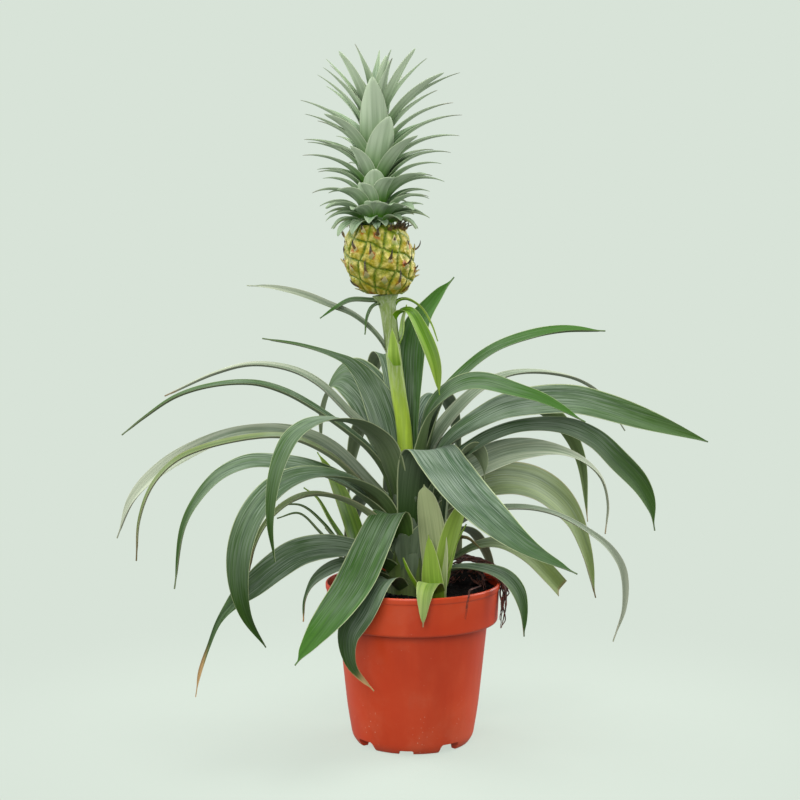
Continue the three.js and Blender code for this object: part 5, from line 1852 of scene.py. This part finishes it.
@dataclass
class Crown:
    """The tuft on the fruit: leaves on a slim core, short and bent back below, long and upright above."""

    base: Point = (-23.6, 0, 325.8)
    core: tuple[Pair, ...] = ((0, 12), (4, 11), (12, 8.5), (34, 5), (76, 1.4))
    filler: int = 34
    skirt: int = 13
    tip_seed: int = 3
    front_seed: int = 4
    back_seed: int = 6

    def root(self, rise: float, azimuth: float) -> Point:
        """Where a leaf leaves the core.

        Args:
            rise: how high above the base.
            azimuth: on which side, in degrees.

        Returns:
            The place in millimetres.
        """
        x, y, z = self.base
        rises, radii = np.array(self.core).T
        radius = max(float(np.interp(rise, rises, radii)) - 1.2, 0.4)
        angle = radians(azimuth)
        return x + radius * cos(angle), y + radius * sin(angle), z + rise

    def painted_light_at(self, height: float) -> float:
        """How light the leaves whose feet are at a height are painted, from 0 to 1: painted shade makes the
        lower ones darker.
        """
        return lerp(0.3, 1, float(smooth((height - self.base[2]) / 50)))

    def tips(self) -> list[BladeSpot]:
        """Places the leaves whose tips show, each bent on one arc from its foot to its tip.

        Returns:
            Their spots.
        """
        chance = random.Random(self.tip_seed)
        spots = []
        for azimuth, rise, across, height, bend, width in CROWN_TIPS:
            root = self.root(rise, azimuth)
            reach, up = (self.base[0] + across - root[0]) / cos(radians(azimuth)), height - rise
            half = radians(bend) / 2
            slope = degrees(atan2(up, reach)) + bend / 2
            spots.append(BladeSpot(root, azimuth, slope, bend, hypot(reach, up) * half / sin(half), width,
                                   chance.uniform(-14, 14), chance.random(), chance.uniform(0, 0.25)))
        return spots

    def front(self) -> list[BladeSpot]:
        """Places the broad leaves towards the front.

        Returns:
            Their spots.
        """
        chance = random.Random(self.front_seed)
        spots = []
        for azimuth, rise, length, slope, bend, width in CROWN_FRONT:
            roll, tint = chance.uniform(-10, 10), chance.random()
            spots.append(BladeSpot(self.root(rise, azimuth), azimuth, slope, bend, length, width, roll, tint))
        return spots

    def back(self) -> list[BladeSpot]:
        """Places the rest of the spiral, towards the back and the middle, and the skirt below it.

        Returns:
            The leaves' spots.
        """
        chance = random.Random(self.back_seed)
        spots = []
        for k in range(self.filler):
            t = k / (self.filler - 1)
            rise = lerp(2, 68, t)
            azimuth = GOLDEN_ANGLE * k % 180 + (0 if t < 0.7 else 180 * (k % 2))
            grown = float(smooth(t / 0.6)) - 0.35 * float(smooth((t - 0.75) / 0.25))
            spots.append(BladeSpot(self.root(rise, azimuth), azimuth, lerp(46, 86, t), lerp(84, 30, t),
                                   lerp(26, 54, grown), lerp(11, 14, grown), chance.uniform(-16, 16),
                                   chance.random(), chance.uniform(0, 0.2)))
        for k in range(self.skirt):
            azimuth = lerp(-16, 196, k / (self.skirt - 1)) + chance.uniform(-6, 6)
            low = k % 2
            spots.append(BladeSpot(self.root(1 + 3 * low, azimuth), azimuth, 34 + 16 * low, 92, 20 + 4 * low,
                                   9.5, chance.uniform(-16, 16), chance.random(), chance.uniform(0, 0.2)))
        return spots

    def make(self) -> None:
        """Builds the core and grows the leaves on it."""
        x, y, z = self.base
        line = [(x, y, z + rise, radius) for rise, radius in self.core]
        core = RoundBar(around=20).shell(line, Tone.GREEN.value)
        seat(build("crown_core", [core]), "crown_leaf", "crown")
        slim = SmallBlades((0.84, 1, 0.96, 0.82, 0.62, 0.42, 0.26, 0.13, 0.05), 24, 9, 0.7, 0.4)
        broad = SmallBlades((0.74, 0.9, 1, 1, 0.95, 0.8, 0.53, 0.1), 22, 9, 0.8, 0.34)
        groups = (("crown_sides", slim, self.tips()), ("crown_front", broad, self.front()),
                  ("crown_back", slim, self.back()))
        for name, shape, spots in groups:
            # Painted shade: each leaf's tint is scaled down by its foot's height, so lower leaves come out
            # darker green with less bloom.
            spots_with_painted_shade = [replace(spot, tint=spot.tint * self.painted_light_at(spot.root[2])) for spot in spots]
            seat(shape.grow(name, spots_with_painted_shade, Tone.CROWN.value), "crown_leaf")


@dataclass
class Studio:
    """The plain pale surroundings, in metres: floor, soft lights and the camera.

    Each light is a round soft box: its name, place, size, power and the height that it is aimed at.
    """

    backdrop: Colour = (216, 227, 216)
    floor_rings: Row = (0.02, 0.2, 0.5, 1, 1.6)
    floor_around: int = 96
    eye: Point = (-0.0081, -1.2390, 0.3534)
    pitch: float = 6.3
    lens: float = 90
    sensor: float = 36
    fill: float = 0.2
    lights: tuple[tuple[str, Point, float, float, float], ...] = (
        ("left_box", (-1.18, 0.4, 0.7), 1.0, 17, 0.2),
        ("right_box", (1.1, 0.5, 0.62), 1.1, 18, 0.18),
        ("front_box", (-0.2, -1.5, 0.9), 1.1, 17, 0.24),
        ("top_box", (0.1, -0.2, 1.7), 0.9, 19, 0.2),
    )

    def camera(self) -> None:
        """Sets the camera where the photograph was taken from."""
        data = bpy.data.cameras.new("view")
        data.lens, data.sensor_width = self.lens, self.sensor
        made = put("view", data)
        made.location = self.eye
        made.rotation_euler = (radians(90 - self.pitch), 0, 0)
        bpy.context.scene.camera = made
        bpy.context.scene.view_settings.view_transform = "Standard"

    def floor(self) -> None:
        """Lays the floor disc."""
        around = self.floor_around
        rows = [(r * cos(a), r * sin(a), 0.0) for r in self.floor_rings for a in round_angles(around)]
        mesh = bpy.data.meshes.new("floor")
        faces = tube_faces(len(self.floor_rings), around, closed_ends=False) + [tuple(range(around))]
        mesh.from_pydata(rows, [], faces)
        mesh.materials.append(FloorFinish().material())
        made = put("floor", mesh)

    def world(self) -> None:
        """A plain bright surround: the backdrop's colour to the camera, softer as light."""
        world = bpy.data.worlds.new("surround")
        bpy.context.scene.world = world
        world.use_nodes = True
        world.node_tree.nodes.clear()
        graph = Graph(world.node_tree)
        seen = graph.out(graph.add("ShaderNodeLightPath"), "Is Camera Ray")
        shown = graph.add("ShaderNodeBackground", {"Color": shade(*self.backdrop), "Strength": 1.0})
        light = graph.add("ShaderNodeBackground", {"Color": (0.95, 0.99, 1.0, 1.0), "Strength": self.fill})
        both = graph.add("ShaderNodeMixShader", {0: seen, 1: light, 2: shown})
        graph.add("ShaderNodeOutputWorld", {"Surface": both})

    def make(self) -> None:
        """Sets up everything round the plant."""
        self.camera()
        self.floor()
        self.world()
        for name, place, size, power, aim in self.lights:
            data = bpy.data.lights.new(name, "AREA")
            data.shape, data.size, data.energy = "DISK", size, power
            made = put(name, data)
            made.location = place
            made.rotation_euler = (Vector((0, 0, aim)) - Vector(place)).to_track_quat("-Z", "Y").to_euler()


def main() -> None:
    """Builds the plant's sub-assemblies in order round the loaded frame."""
    logging.basicConfig(level=logging.INFO, format="%(message)s")
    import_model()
    Studio().make()
    Pot().make()
    Soil().make()
    RootMass().make()
    Stalk().make()
    Rosette().make()
    for shoot in SHOOTS:
        shoot.make()
    Fruit().make()
    Crown().make()
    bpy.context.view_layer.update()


if __name__ == "__main__":
    main()
